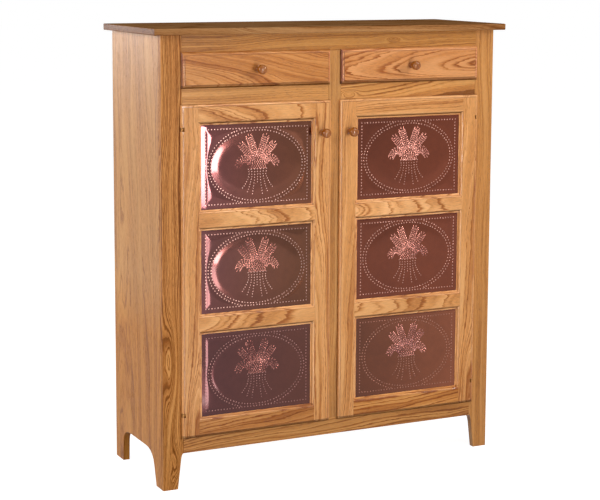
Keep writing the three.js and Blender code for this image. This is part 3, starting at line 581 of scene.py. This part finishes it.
EAR_TIP = [(math.radians(55) * hand, math.radians(30) * hand) for hand in (-1, 0, 1)]
EAR_TIP_REACH, EAR_TIP_SEED = 9.0, 8.0
HEART_ROWS = 9
HEART_BASE, HEART_STEP = -7.5, 5.6
HEART_HALF = 31.0
HEART_WIDEST_ROW, HEART_TAPER = 3, 1.4
HEART_PITCH, HEART_SEED = 6.6, 7.5
HEART_SOURCE = 40.0  # how far below the middle the seeds of the heart spread from
HEART_TURN = math.radians(40)


def bezier(start, bend, end, share):
    a, b, c = (1 - share) ** 2, 2 * share * (1 - share), share ** 2
    return tuple(a * p + b * q + c * r for p, q, r in zip(start, bend, end))


def along_curve(point_at, pitch, steps=400):
    # Points at an even pitch along a curve given for shares from 0 to 1.
    line = [point_at(i / steps) for i in range(steps + 1)]
    lengths = [0.0]
    for p, q in zip(line, line[1:]):
        lengths.append(lengths[-1] + math.dist(p, q))
    count = max(1, round(lengths[-1] / pitch))
    out = []
    place = 0
    for i in range(count + 1):
        want = lengths[-1] * i / count
        while place < steps and lengths[place + 1] < want:
            place += 1
        out.append(line[min(place + 1, steps)])
    return out


def oval_dots(radii, top):
    a, b = radii
    ring = along_curve(lambda t: (a * math.cos(TURN * t), b * math.sin(TURN * t)), ROW_PITCH)[:-1]
    return [(x, z) for x, z in ring if abs(z) < top]


def stem_dots(k):
    start, bend = (k * STEM_TOP[0], STEM_TOP[1]), (k * STEM_BEND[0], STEM_BEND[1])
    end = (k * STEM_FOOT[0], STEM_FOOT[1] + STEM_FOOT_LIFT * k * k) if k else MIDDLE_STEM_FOOT
    return along_curve(lambda t: bezier(start, bend, end, t), STEM_PITCH)


def round_punches():
    # Round punches as (x, z, radius).
    half_x, half_z = BORDER
    wide = round(2 * half_x / ROW_PITCH)
    tall = round(2 * half_z / ROW_PITCH)
    dots = [(-half_x + 2 * half_x * i / wide, z) for i in range(wide + 1) for z in (-half_z, half_z)]
    dots += [(x, -half_z + 2 * half_z * i / tall) for i in range(1, tall) for x in (-half_x, half_x)]
    dots += oval_dots(OUTER_OVAL, half_z - OUTER_OVAL_GAP)
    dots += oval_dots(INNER_OVAL, half_z)
    stems = [dot for k in range(-STEMS, STEMS + 1) for dot in stem_dots(k)]
    return [(x, z, PUNCH_RADIUS) for x, z in dots] + [(x, z, STEM_PUNCH_RADIUS) for x, z in stems]


def ear_seeds(start, bend, end):
    seeds = []
    line = along_curve(lambda t: bezier(start, bend, end, t), SEED_PITCH)
    for i, (x, z) in enumerate(line):
        ahead = line[min(i + 1, len(line) - 1)]
        behind = line[max(i - 1, 0)]
        angle = math.atan2(ahead[1] - behind[1], ahead[0] - behind[0])
        seeds.append((x, z, angle, EAR_MIDDLE_SEED))
        for hand in (-1, 1):
            off = angle + hand * math.pi / 2
            for away, long in EAR_ROWS:
                place = (x + away * math.cos(off), z + away * math.sin(off))
                seeds.append((*place, angle + hand * EAR_SPREAD, long))
    for spread, lean in EAR_TIP:
        off = angle + spread
        tip = (x + EAR_TIP_REACH * math.cos(off), z + EAR_TIP_REACH * math.sin(off))
        seeds.append((*tip, angle + lean, EAR_TIP_SEED))
    return seeds


def heart_seeds(row):
    z = HEART_BASE + row * HEART_STEP
    half = HEART_HALF - HEART_TAPER * abs(row - HEART_WIDEST_ROW) ** 1.5
    count = max(1, round(half / HEART_PITCH))
    odd = row % 2
    seeds = []
    for i in range(count):
        x = half * (i + (0.5 if odd else 1.0)) / count
        angle = math.atan2(z + HEART_SOURCE, x) + (HEART_TURN if odd else -HEART_TURN)
        seeds.append((x, z, angle, HEART_SEED))
    return seeds


def seed_punches():
    # Long punches of the ears and the heart of the sheaf, as (x, z, angle, length).
    seeds = []

    def add_pairs(half):
        for x, z, angle, long in half:
            seeds.append((x, z, angle, long))
            seeds.append((-x, z, math.pi - angle, long))

    for ear in EARS:
        add_pairs(ear_seeds(*ear))
    for row in range(HEART_ROWS):
        add_pairs(heart_seeds(row))
        if row % 2 == 0:
            seeds.append((0.0, HEART_BASE + row * HEART_STEP, math.pi / 2, HEART_SEED))
    return seeds


def oval_distance(x, z, radii):
    # Distance in from an oval row, negative outside.
    a, b = radii
    f = np.sqrt((x / a) ** 2 + (z / b) ** 2) + 1e-9
    slope = np.sqrt((x / a ** 2) ** 2 + (z / b ** 2) ** 2) / f + 1e-9
    return (1 - f) / slope


RIM_RUN, RIM_EASE = 13.0, 8.0  # lengths of a sheet's slopes, steady and easing off
MIDDLE_RUN, MIDDLE_EASE = 12.0, 10.0
HEART_RUN, HEART_EASE = 13.0, 18.0
EDGE_DROP = 8.0
PANEL_GROOVE = 8.0
SHEET_FACE = 0.8  # behind the front of the CAD panel's beads
SHEET_CELL = 2.5
WAVE, WAVE_X, WAVE_Z, WAVE_FADE = 0.10, 23.0, 19.0, 12.0
DOME = [(1.0, -0.12), (0.68, 0.62), (0.36, 0.86)]  # rings of a punch, in (radius, rise)
DOME_DIP = 0.45
DOME_SIDES = 8
PUNCH_RISE = 0.8
PLACE_SLIP, TURN_SLIP, RISE_SLIP = 0.18, 0.08, 0.06


def ramped(distance, slope, run, ease):
    # Rise of a sheet that climbs at an even slope, then levels out.
    steady = np.clip(distance, 0, run)
    eased = np.clip((distance - run) / ease, 0, 1)
    return slope * (steady + ease * (eased - eased ** 2 / 2))


def sheet_rise(x, z, slopes, open_half):
    # How far the sheet bows out: from its left edge, between its rows and inside the oval. It
    # drops back to its groove along the other edges.
    rim, middle, heart, share = slopes
    border_in = np.minimum(BORDER[0] - np.abs(x), BORDER[1] - np.abs(z))
    between = np.minimum(-oval_distance(x, z, OUTER_OVAL), border_in)
    rise = ramped(x + open_half[0], rim, RIM_RUN, RIM_EASE)
    rise = rise + ramped(between, middle, share * MIDDLE_RUN, share * MIDDLE_EASE)
    rise = rise + ramped(oval_distance(x, z, INNER_OVAL), heart, share * HEART_RUN, share * HEART_EASE)
    edge = np.clip(np.minimum(open_half[0] - x, open_half[1] - np.abs(z)) / EDGE_DROP, 0, 1)
    return rise * edge * (2 - edge)


def circle(sides):
    return [(math.cos(TURN * i / sides), math.sin(TURN * i / sides)) for i in range(sides)]


def ring_faces(first, rings, sides):
    # Faces that join rings of points, each ring to the next.
    faces = []
    for a in range(first, first + (rings - 1) * sides, sides):
        for i in range(sides):
            j = (i + 1) % sides
            faces.append((a + i, a + sides + i, a + sides + j, a + j))
    return faces


def tip_faces(ring, tip, sides):
    return [(ring + i, tip, ring + (i + 1) % sides) for i in range(sides)]


def dome():
    # A punch in its own units: a rounded lip round a small dip.
    points = [(radius * c, rise, radius * s) for radius, rise in DOME for c, s in circle(DOME_SIDES)]
    tip = len(points)
    faces = ring_faces(0, len(DOME), DOME_SIDES) + tip_faces(tip - DOME_SIDES, tip, DOME_SIDES)
    return np.array(points + [(0.0, DOME_DIP, 0.0)]), faces


def bowed_sheet(half, open_half, deep, seed, slopes):
    # Points and faces of a sheet: its bowed and slightly wavy front, its rim and its flat back.
    across, upward = (np.linspace(-h, h, round(2 * h / SHEET_CELL) + 1) for h in half)
    x, z = np.meshgrid(across, upward)
    wave = WAVE * np.sin(x / WAVE_X + seed) * np.cos(z / WAVE_Z + 2.0 * seed)
    fade = np.clip(np.minimum(open_half[0] - np.abs(x), open_half[1] - np.abs(z)) / WAVE_FADE, 0, 1)
    rise = sheet_rise(x, z, slopes, open_half) + wave * fade
    front = np.stack([x.ravel(), -rise.ravel(), z.ravel()], axis=1)
    grid = np.arange(x.size).reshape(x.shape)
    cells = np.stack([grid[:-1, :-1], grid[:-1, 1:], grid[1:, 1:], grid[1:, :-1]], axis=-1)
    faces = [tuple(cell) for cell in cells.reshape(-1, 4).tolist()]
    edge = np.concatenate([grid[0], grid[1:, -1], grid[-1, -2::-1], grid[-2:0:-1, 0]]).tolist()
    start = x.size
    rim = np.array([(front[i][0], deep, front[i][2]) for i in edge])
    for i in range(len(edge)):
        j = (i + 1) % len(edge)
        faces.append((edge[j], edge[i], start + i, start + j))
    faces.append(tuple(start + i for i in range(len(edge) - 1, -1, -1)))
    return np.concatenate([front, rim]), faces


def punch_shapes(first, seed, slopes, open_half):
    # Points and faces of all punches, the round ones first, and how many faces are round.
    rng = np.random.default_rng(seed)
    shape, shape_faces = dome()
    punches = [(x, z, 0.0, radius, radius) for x, z, radius in round_punches()]
    round_faces = len(punches) * len(shape_faces)
    punches += [(x, z, turn, long / 2, SEED_HALF_WIDTH) for x, z, turn, long in seed_punches()]
    points, faces = [], []
    for x, z, turn, long, wide in punches:
        x += rng.normal(0, PLACE_SLIP)
        z += rng.normal(0, PLACE_SLIP)
        turn += rng.normal(0, TURN_SLIP)
        base = float(sheet_rise(np.array(x), np.array(z), slopes, open_half))
        cos, sin = math.cos(turn), math.sin(turn)
        u, v = shape[:, 0] * long, shape[:, 2] * wide
        rise = base + shape[:, 1] * (PUNCH_RISE + rng.normal(0, RISE_SLIP))
        points.append(np.stack([x + u * cos - v * sin, -rise, z + u * sin + v * cos], axis=1))
        faces += [tuple(first + i for i in face) for face in shape_faces]
        first += len(shape)
    return np.concatenate(points), faces, round_faces


def mounted(name, mesh, body, sharp):
    mesh.shade_smooth()
    mesh.set_sharp_from_angle(angle=math.radians(sharp))
    mesh.update()
    piece = linked(name, mesh)
    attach(piece, body)
    return piece


def closed_mesh(name, points, faces, materials, body, sharp=40.0, tags=None):
    mesh = bpy.data.meshes.new(name)
    mesh.from_pydata([tuple(p) for p in points], [], faces)
    for material in materials:
        mesh.materials.append(material)
    if tags is not None:
        mesh.polygons.foreach_set("material_index", tags)
    return mounted(name, mesh, body, sharp)


def punched_sheet(node, body, seed, slopes, materials):
    low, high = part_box(node)
    half = ((high[0] - low[0]) / 2 / MM, (high[2] - low[2]) / 2 / MM)
    open_half = tuple(h - PANEL_GROOVE for h in half)
    front = low[1] + SHEET_FACE * MM
    sheet, faces = bowed_sheet(half, open_half, (high[1] - front) / MM, seed, slopes)
    sheet_faces = len(faces)
    punches, punch_faces, round_faces = punch_shapes(len(sheet), seed, slopes, open_half)
    faces += punch_faces
    tags = np.zeros(len(faces), dtype=np.int32)
    tags[sheet_faces:] = 1
    tags[sheet_faces + round_faces:] = 2
    middle = np.array([(low[0] + high[0]) / 2, front, (low[2] + high[2]) / 2])
    cloud = np.concatenate([sheet, punches]) * MM + middle
    piece = closed_mesh(f"{node}_sheet", cloud.tolist(), faces, materials, body, 60, tags)
    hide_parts(node)


def copper(name, tones, seed, rough, coat, speckle=60.0, spread_tones=0.2, node=None, lean=0.0, pink=1.0):
    # A small spread of the tones parts them sharply. A lean makes the tone of one sheet lighter toward its
    # right edge: painted light, for the lamps' reflection on that side. Pink is how many times more blue its
    # left edge holds than its middle: a painted tint that turns the highlight along that edge pinker.
    s = Shader(name)
    spread = s.vector("ADD", s.coords, grey(seed * 1.7))
    cloud = s.noise(spread, 7.0, 3.0, 0.55)["Fac"]
    mottle = s.noise(spread, speckle, 3.0, 0.6)["Fac"]
    share = s.scaled(mottle, 0.4, s.times(cloud, 0.6))
    colour = s.ramp(share, [(0.5 - spread_tones, tones[0]), (0.5 + spread_tones, tones[1])])
    if node:
        low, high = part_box(node)
        place = s.per(s.minus(s.parts(s.coords)[0], (low[0] + high[0]) / 2), (high[0] - low[0]) / 2)
        level = s.scaled(place, lean, 1.0)
        blue = s.times(level, s.math("POWER", pink, s.times(place, -1.0)))
        colour = s.mix(1.0, colour, s.combine(level, level, blue), "MULTIPLY")
    s.set(Base_Color=colour, Metallic=1.0)
    s.set(Roughness=s.scaled(mottle, 0.05, rough), Coat_Weight=coat, Coat_Roughness=0.08)
    return s.material


# Painted tint for the lamp's highlight along the left sheets' left edges
LEFT_PINKS = {"upper": 1.8, "middle": 1.8, "lower": 1.3}


def copper_panels():
    # The seeds are drawn darker on the lower panels: painted shade, for less light lower down.
    seed_tones = {
        "upper": pair(96, 38, 34, 208, 140, 124),
        "middle": pair(92, 38, 34, 200, 134, 118),
        "lower": pair(76, 30, 28, 186, 122, 110),
    }
    bright = {}
    for level, tones in seed_tones.items():
        bright[level] = copper(f"copper_seeds_{level}", tones, seed=3, rough=0.16, coat=0.4,
                               speckle=240.0, spread_tones=0.1)
    # Name, tones, seed and coat of the round punches, and how much they fade to the right; the fade and the
    # lighter tones of the left dots are painted light, for the lamp's highlight along the left side
    rows = {
        "left_upper": ("left", pair(166, 121, 111, 200, 158, 146), 4, 0.4, -0.42),
        "left_middle": ("fading", pair(150, 109, 99, 182, 142, 130), 8, 0.4, -0.5),
        "right": ("right", pair(146, 100, 88, 172, 126, 112), 5, 0.4, 0.0),
        "left_lower": ("dull", pair(108, 74, 70, 138, 100, 94), 6, 0.3, 0.0),
        "right_lower": ("brown", pair(120, 76, 62, 146, 102, 86), 7, 0.3, 0.0),
    }
    dots = {}
    for place, (name, tones, seed, coat, lean) in rows.items():
        node = f"{place}_punched_panel" if lean else None
        dots[place] = copper(f"copper_dots_{name}", tones, seed, rough=0.25, coat=coat,
                             node=node, lean=lean)
    flat = (0.05, 0.03, 0.05, 1.0)
    # Tones of a sheet, how much it lightens to the right as painted light, and its slopes at the rim, between
    # the rows and in the heart, with the share of their lengths
    looks = {
        "left_upper": (pair(92, 49, 37, 106, 58, 45), 0.0, (0.11, 0.11, 0.115, 1.0)),
        "left_middle": (pair(82, 44, 32, 95, 53, 39), 0.0, (0.03, 0.11, 0.115, 0.85)),
        "left_lower": (pair(71, 36, 31, 82, 43, 38), 0.1, (0.02, 0.11, 0.06, 0.3)),
        "right_upper": (pair(94, 40, 19, 108, 49, 25), 0.15, flat),
        "right_middle": (pair(91, 39, 18, 105, 48, 25), 0.1, flat),
        "right_lower": (pair(94, 48, 28, 108, 57, 34), 0.35, flat),
    }
    for seed, (place, (tones, lean, slopes)) in enumerate(looks.items(), 1):
        side, level = place.split("_")
        node = f"{place}_punched_panel"
        pink = LEFT_PINKS[level] if side == "left" else 1.0
        plain = copper(f"copper_{place}", tones, seed, rough=0.11, coat=0.45,
                       node=node, lean=lean, pink=pink)
        rounds = dots.get(place) or dots["right"]
        punched_sheet(node, f"{side}_door", seed, slopes, (plain, rounds, bright[level]))


# Turned knobs and small metal parts

def curve_points(start, bend, end, steps):
    return [bezier(start, bend, end, i / steps) for i in range(1, steps + 1)]


def turned(profile, sides):
    # Profile of (radius, reach) from the axis at the base to the axis at the tip, turned about -Y.
    points = [(0.0, -profile[0][1], 0.0)]
    points += [(radius * c, -reach, radius * s) for radius, reach in profile[1:-1] for c, s in circle(sides)]
    tip = len(points)
    faces = [(0, 1 + i, 1 + (i + 1) % sides) for i in range(sides)]
    faces += ring_faces(1, len(profile) - 2, sides) + tip_faces(tip - sides, tip, sides)
    return points + [(0.0, -profile[-1][1], 0.0)], faces


KNOB_BASE = (9.0, 3.5)  # radius and thickness of the collar
KNOB_NECK = (5.5, 17.0)  # radius, and reach where the head starts
KNOB_HEAD = (13.2, 28.0)  # radius, and reach of the widest ring
KNOB_REACH = 38.0
KNOB_EASE = (0.5, 0.6, 0.7)  # how far the collar's edges are eased: inward, at its back and front
KNOB_SIDES = 48
KNOB_GRAIN, KNOB_CLOUD = (2.2, 14), (16, 40)
KNOB_TONES = [(0.3, srgb(110, 50, 0)), (0.5, srgb(152, 82, 4)), (0.72, srgb(180, 108, 18))]
KNOB_SCREW = (4.2, 2.0)  # radius of a screw's head, and how far it stands proud


def knob_wood():
    s = Shader("knob_wood")
    spread = s.millimetres()
    grain = s.specks(spread, KNOB_GRAIN, 3.0)["Fac"]
    cloud = s.specks(spread, KNOB_CLOUD)["Fac"]
    share = s.scaled(cloud, 0.4, s.times(grain, 0.6))
    s.set(Base_Color=s.ramp(share, KNOB_TONES), Specular_IOR_Level=0.45)
    s.set(Roughness=s.scaled(grain, 0.04, 0.07), Normal=s.bump(grain, 0.05, 0.05 * MM))
    return s.material


def knob_profile():
    (base, thick), (neck, start), head = KNOB_BASE, KNOB_NECK, KNOB_HEAD
    inward, back, front = KNOB_EASE
    inner = base - inward
    profile = [(0.0, 0.0), (inner, 0.0), (base, back), (base, thick - front), (inner, thick)]
    profile += curve_points((inner, thick), (neck, thick), (neck, (thick + start) / 2), 8)
    profile += [KNOB_NECK]
    profile += curve_points(KNOB_NECK, (head[0], start), head, 12)
    return profile + curve_points(head, (head[0], KNOB_REACH), (0.0, KNOB_REACH), 14)


def mottled(name, tones, cloud_scale, skin_scale, rough, spread, bump, **values):
    # A plain material with a cloudy tone and a fine skin.
    s = Shader(name)
    cloud = s.noise(s.coords, cloud_scale, 3.0, 0.6)["Fac"]
    skin = s.noise(s.coords, skin_scale, 2.0, 0.6)["Fac"]
    s.set(Base_Color=s.ramp(cloud, [(0.3, tones[0]), (0.7, tones[1])]), **values)
    s.set(Roughness=s.scaled(skin, spread, rough), Normal=s.bump(skin, bump, 0.05 * MM))
    return s.material


def metal(name, tones, rough):
    return mottled(name, tones, 90.0, 900.0, rough, 0.16, 0.08, Metallic=1.0)


BRASS = metal("antique_brass", pair(150, 104, 58, 178, 130, 78), 0.34)
STEEL = metal("zinc_steel", pair(150, 148, 142, 186, 184, 178), 0.28)

SCREW_SIDES = 24
SCREW_RINGS = (0.12, 0.24, 0.4, 0.55, 0.7, 0.86, 1.0)  # shares of the radius
RECESS_REACH, RECESS_HALF, RECESS_DEPTH = 0.6, 0.13, 0.5
RECESS_MIDDLE = 0.6
SCREW_CROWN = 0.75  # how much of a head's rise is lost toward its rim
SCREW_BURY = 0.4


def screw_head(place, radius, proud, axis, spin, first):
    # Points and faces of one screw head with a cross recess, in metres.
    side = Vector((0, 0, 1)) if abs(axis.z) < 0.5 else Vector((1, 0, 0))
    other = axis.cross(side)
    place = Vector(place)
    ring = circle(SCREW_SIDES)
    points = []
    for share in SCREW_RINGS:
        for u, v in ((share * c, share * s) for c, s in ring):
            deep = share < RECESS_REACH and min(abs(u), abs(v)) < RECESS_HALF
            rise = proud * (1 - SCREW_CROWN * share ** 4) - (RECESS_DEPTH * MM if deep else 0.0)
            a = u * math.cos(spin) - v * math.sin(spin)
            b = u * math.sin(spin) + v * math.cos(spin)
            points.append(place + axis * rise + (side * a + other * b) * radius)
    middle = first + len(points)
    under = middle + 1
    points.append(place + axis * (proud - RECESS_MIDDLE * MM))
    points += [place - axis * SCREW_BURY * MM + (side * c + other * s) * radius for c, s in ring]
    rim = middle - SCREW_SIDES
    faces = ring_faces(first, len(SCREW_RINGS), SCREW_SIDES)
    for i in range(SCREW_SIDES):
        j = (i + 1) % SCREW_SIDES
        faces += [(middle, first + i, first + j), (rim + i, under + i, under + j, rim + j)]
    faces.append(tuple(under + i for i in range(SCREW_SIDES)))
    return points, faces


def screw_heads(name, places, radius, proud, facing, material, body):
    # Screw heads that lie at their places and face along one axis. Sizes in millimetres.
    points, faces = [], []
    rng = random.Random(len(name))
    for place in places:
        spin = rng.uniform(0, math.pi)
        head = screw_head(place, radius * MM, proud * MM, Vector(facing), spin, len(points))
        points += head[0]
        faces += head[1]
    piece = closed_mesh(name, points, faces, (material,), body)
    bm = bmesh.new()
    bm.from_mesh(piece.data)
    bmesh.ops.recalc_face_normals(bm, faces=bm.faces)
    bm.to_mesh(piece.data)
    bm.free()


def knobs():
    wood = knob_wood()
    points, faces = turned(knob_profile(), KNOB_SIDES)
    for side in SIDES:
        for part, carrier in (("door", "door_latch_stile"), ("drawer", "drawer_front")):
            node = f"{side}_{part}_knob"
            body = f"{side}_{part}"
            low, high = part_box(node)
            centre = Vector(((low[0] + high[0]) / 2, high[1], (low[2] + high[2]) / 2))
            placed = [centre + Vector(p) * MM for p in points]
            piece = closed_mesh(f"{node}_turned", placed, faces, (wood,), body, sharp=50)
            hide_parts(node)
            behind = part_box(f"{side}_{carrier}")[1][1]
            screw_heads(f"{node}_screw", [(centre.x, behind, centre.z)], *KNOB_SCREW, (0, 1, 0), STEEL, body)


HINGE_SCREW_RADIUS = 2.9
LEAF_SCREW_RISE = 15  # above and below a leaf's middle
FRAME_SCREW_IN = 6.5  # from the leaf's back edge
DOOR_SCREW_OUT = (7, 16)  # from the leaf's free edge


def hinges():
    rise = LEAF_SCREW_RISE * MM
    near, far = (reach * MM for reach in DOOR_SCREW_OUT)
    for side, sign in zip(SIDES, (-1, 1)):
        leaves = [(level, leaf) for level in ("upper", "lower") for leaf in ("frame_leaf", "door_leaf")]
        for level, leaf in leaves:
            node = f"{side}_{level}_hinge_{leaf}"
            carrier = "case" if leaf == "frame_leaf" else f"{side}_door"
            board(node, carrier, BRASS, ease=0.18, name="brass")
            low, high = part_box(node)
            x = low[0] if sign > 0 else high[0]
            z = (low[2] + high[2]) / 2
            if leaf == "frame_leaf":
                places = [(x, high[1] - FRAME_SCREW_IN * MM, z + hand * rise) for hand in (-1, 1)]
                proud, facing = 0.1, (-sign, 0, 0)
            else:
                places = [(x + sign * near, high[1], z)]
                places += [(x + sign * far, high[1], z + hand * rise) for hand in (-1, 1)]
                proud, facing = 0.25, (0, 1, 0)
            screw_heads(f"{node}_screws", places, HINGE_SCREW_RADIUS, proud, facing, BRASS, carrier)


def plate(name, body, box, face, inset, reach, rise, ease):
    # A thin steel plate with rounded corners and eased edges. Its millimetres count inward from
    # the box's sides, back from a face and up from the box's base.
    low = (box[0][0] + inset * MM, face + reach[0] * MM, box[0][2] + rise[0] * MM)
    high = (box[1][0] - inset * MM, face + reach[1] * MM, box[0][2] + rise[1] * MM)
    bm = bmesh.new()
    bmesh.ops.create_cube(bm, size=1.0)
    middle = [(a + b) / 2 for a, b in zip(low, high)]
    for vert in bm.verts:
        vert.co = Vector([m + c * (b - a) for m, c, a, b in zip(middle, vert.co, low, high)])
    corners = [e for e in bm.edges if abs(e.verts[0].co.y - e.verts[1].co.y) > 1e-6]
    rounding = min(high[0] - low[0], high[2] - low[2]) * 0.3
    bmesh.ops.bevel(bm, geom=corners, offset=rounding, segments=5, affect="EDGES", profile=0.5)
    rim = [e for e in bm.edges if e.calc_face_angle(0) > math.radians(60)]
    bmesh.ops.bevel(bm, geom=rim, offset=ease * MM, segments=2, affect="EDGES", profile=0.5)
    mesh = bpy.data.meshes.new(name)
    bm.to_mesh(mesh)
    bm.free()
    mesh.materials.append(STEEL)
    mounted(name, mesh, body, 45)


CATCH_SCREW = (3.6, 1.6)
CATCH_SCREW_OUT, CATCH_SCREW_DROP = 15, 10
POLES = {"lower": (3.4, 5.4), "upper": (8.2, 10.2)}  # the magnet's poles, above the catch's base
POLE = (6, (-0.1, 1))  # inset, and reach forward and back
STRIKE = (4, (-1, 0.12), (1.5, 12.5))


def catches():
    brown = mottled("catch_brown", pair(88, 58, 36, 104, 72, 46), 60.0, 2400.0, 0.42, 0.15, 0.15,
                    Specular_IOR_Level=0.4)
    for side in SIDES:
        node = f"{side}_door_catch"
        board(node, "case", brown, ease=1.2, name="moulded")
        low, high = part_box(node)
        middle = (low[0] + high[0]) / 2
        z = high[2] - CATCH_SCREW_DROP * MM
        places = [(middle + hand * CATCH_SCREW_OUT * MM, high[1], z) for hand in (-1, 1)]
        screw_heads(f"{node}_screws", places, *CATCH_SCREW, (0, 1, 0), STEEL, "case")
        for bar, rise in POLES.items():
            plate(f"{node}_{bar}_pole", "case", (low, high), low[1], *POLE, rise, ease=0.05)
        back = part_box(f"{side}_door_top_rail")[1][1]
        plate(f"{side}_door_strike", f"{side}_door", (low, high), back, *STRIKE, ease=0.08)


BACK_SCREW_RADIUS, BACK_SCREW_PROUD = 3.4, 1.2
BACK_SCREW_ROOM = (0.4, 0.2)  # the least room behind the panel, and what is kept free of it
BACK_SCREW_INSET = 7
BACK_SCREW_ROWS, BACK_SCREW_COLUMNS = 7, 5


def back_fixings():
    # Screws that hold the back panel in its rabbets.
    low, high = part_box("back_panel")
    inset = BACK_SCREW_INSET * MM
    rows, columns = BACK_SCREW_ROWS, BACK_SCREW_COLUMNS
    places = []
    for i in range(rows):
        z = low[2] + inset + (high[2] - low[2] - 2 * inset) * i / (rows - 1)
        places += [(low[0] + inset, high[1], z), (high[0] - inset, high[1], z)]
    for i in range(1, columns):
        x = low[0] + inset + (high[0] - low[0] - 2 * inset) * i / columns
        places += [(x, high[1], low[2] + inset), (x, high[1], high[2] - inset)]
    room = (cad_high[1] - high[1]) / MM
    least, free = BACK_SCREW_ROOM
    proud = min(BACK_SCREW_PROUD, room - free) if room > least else 0.0
    screw_heads("back_panel_screws", places, BACK_SCREW_RADIUS, proud, (0, 1, 0), STEEL, "case")


case_boards()
door_boards()
drawer_boards()
copper_panels()
knobs()
hinges()
catches()
back_fixings()


# Studio

FLOOR_REACH = 30.0


def seen_rays(graph):
    # 1 for rays that show the background: from the camera, in a reflection or through glass.
    path = graph.add("ShaderNodeLightPath").outputs
    seen = graph.math("ADD", path["Is Camera Ray"], path["Is Glossy Ray"], use_clamp=True)
    return graph.math("ADD", seen, path["Is Transmission Ray"], use_clamp=True)


def world_light():
    world = bpy.data.worlds.new("studio")
    bpy.context.scene.world = world
    world.use_nodes = True
    g = Graph(world.node_tree)
    height = g.parts(g.add("ShaderNodeTexCoord").outputs["Generated"])[2]
    # The world's light fades from the horizon up.
    limits = {"From Min": 0.0, "From Max": 0.8, "To Min": 0.22, "To Max": 0.1}
    strength = g.add("ShaderNodeMapRange", {"Value": height, **limits}).outputs[0]
    light = g.add("ShaderNodeBackground", {"Color": WHITE, "Strength": strength}).outputs[0]
    white = g.add("ShaderNodeBackground", {"Color": WHITE, "Strength": 1.0}).outputs[0]
    mix = g.add("ShaderNodeMixShader", {0: seen_rays(g), 1: light, 2: white}).outputs[0]
    g.add("ShaderNodeOutputWorld", {0: mix})


def floor():
    mesh = bpy.data.meshes.new("floor")
    corners = [(x * FLOOR_REACH, y * FLOOR_REACH, 0) for x, y in ((-1, -1), (1, -1), (1, 1), (-1, 1))]
    mesh.from_pydata(corners, [], [(0, 1, 2, 3)])
    piece = linked("floor", mesh)
    material = bpy.data.materials.new("floor_white")
    material.use_nodes = True
    g = Graph(material.node_tree)
    matt, dull = (g.add("ShaderNodeBsdfDiffuse", {"Color": grey(tone)}).outputs[0] for tone in (0.8, 0.4))
    glow = g.add("ShaderNodeEmission", {"Color": WHITE, "Strength": 1.9}).outputs[0]
    bright = g.add("ShaderNodeMixShader", {0: 0.5, 1: matt, 2: glow}).outputs[0]
    mix = g.add("ShaderNodeMixShader", {0: seen_rays(g), 1: dull, 2: bright}).outputs[0]
    g.add("ShaderNodeOutputMaterial", {0: mix})
    mesh.materials.append(material)


# Name, place, aim, width, height and power of each lamp
LAMPS = [
    ("key", (4.3, -4.5, 3.3), (0.0, 0.0, 0.8), 0.7, 0.8, 125),
    ("front_softbox", (0.47, -4.65, 0.88), (0.02, 0.0, 0.88), 0.62, 1.5, 65),
    ("floor_glow", (0.09, -2.72, 0.012), (0.08969, -2.71802, 1.012), 0.2, 3.55, 20),
    ("left_softbox", (-3.7, -0.4, 1.9), (-0.4, 0.0, 0.9), 1.4, 1.9, 78),
    ("back_softbox", (-2.1, 4.0, 1.52), (-0.5, 0.0, 1.1), 1.1, 1.0, 38),
    ("top_softbox", (0.74, -1.57, 3.22), (-0.35, -0.17, 1.06), 0.5, 1.6, 20),
]


def lamp(name, place, aim, width, height, power):
    light = bpy.data.lights.new(name, "AREA")
    light.shape = "RECTANGLE"
    light.size = width
    light.size_y = height
    light.energy = power
    piece = linked(name, light)
    piece.location = place
    piece.rotation_mode = "QUATERNION"
    piece.rotation_quaternion = (Vector(aim) - Vector(place)).to_track_quat("-Z", "Y")


SENSOR = 36.0
PICTURE_WIDTH = 600  # pixels
FOCAL_LENGTH = 1659.56  # pixels
PICTURE_SHIFT = -60  # pixels
CAMERA_PLACE = (-2.12273, -4.293122, 1.450924)
CAMERA_TURN = (26.034, -7.888, 0.256)  # yaw, pitch and roll


def camera():
    data = bpy.data.cameras.new("camera")
    data.sensor_fit = "HORIZONTAL"
    data.sensor_width = SENSOR
    data.lens = FOCAL_LENGTH / PICTURE_WIDTH * SENSOR
    data.shift_y = PICTURE_SHIFT / PICTURE_WIDTH
    data.clip_end = 100.0
    yaw, pitch, roll = (math.radians(a) for a in CAMERA_TURN)
    ahead = Vector((math.sin(yaw) * math.cos(pitch), math.cos(yaw) * math.cos(pitch), math.sin(pitch)))
    right = Vector((math.cos(yaw), -math.sin(yaw), 0.0))
    up = right.cross(ahead)
    rolled = right * math.cos(roll) + up * math.sin(roll)
    upright = up * math.cos(roll) - right * math.sin(roll)
    piece = linked("camera", data)
    axes = Matrix((rolled, upright, -ahead)).transposed()
    piece.matrix_world = Matrix.Translation(CAMERA_PLACE) @ axes.to_4x4()
    bpy.context.scene.camera = piece


world_light()
floor()
for values in LAMPS:
    lamp(*values)
camera()
bpy.context.scene.view_settings.view_transform = "Standard"
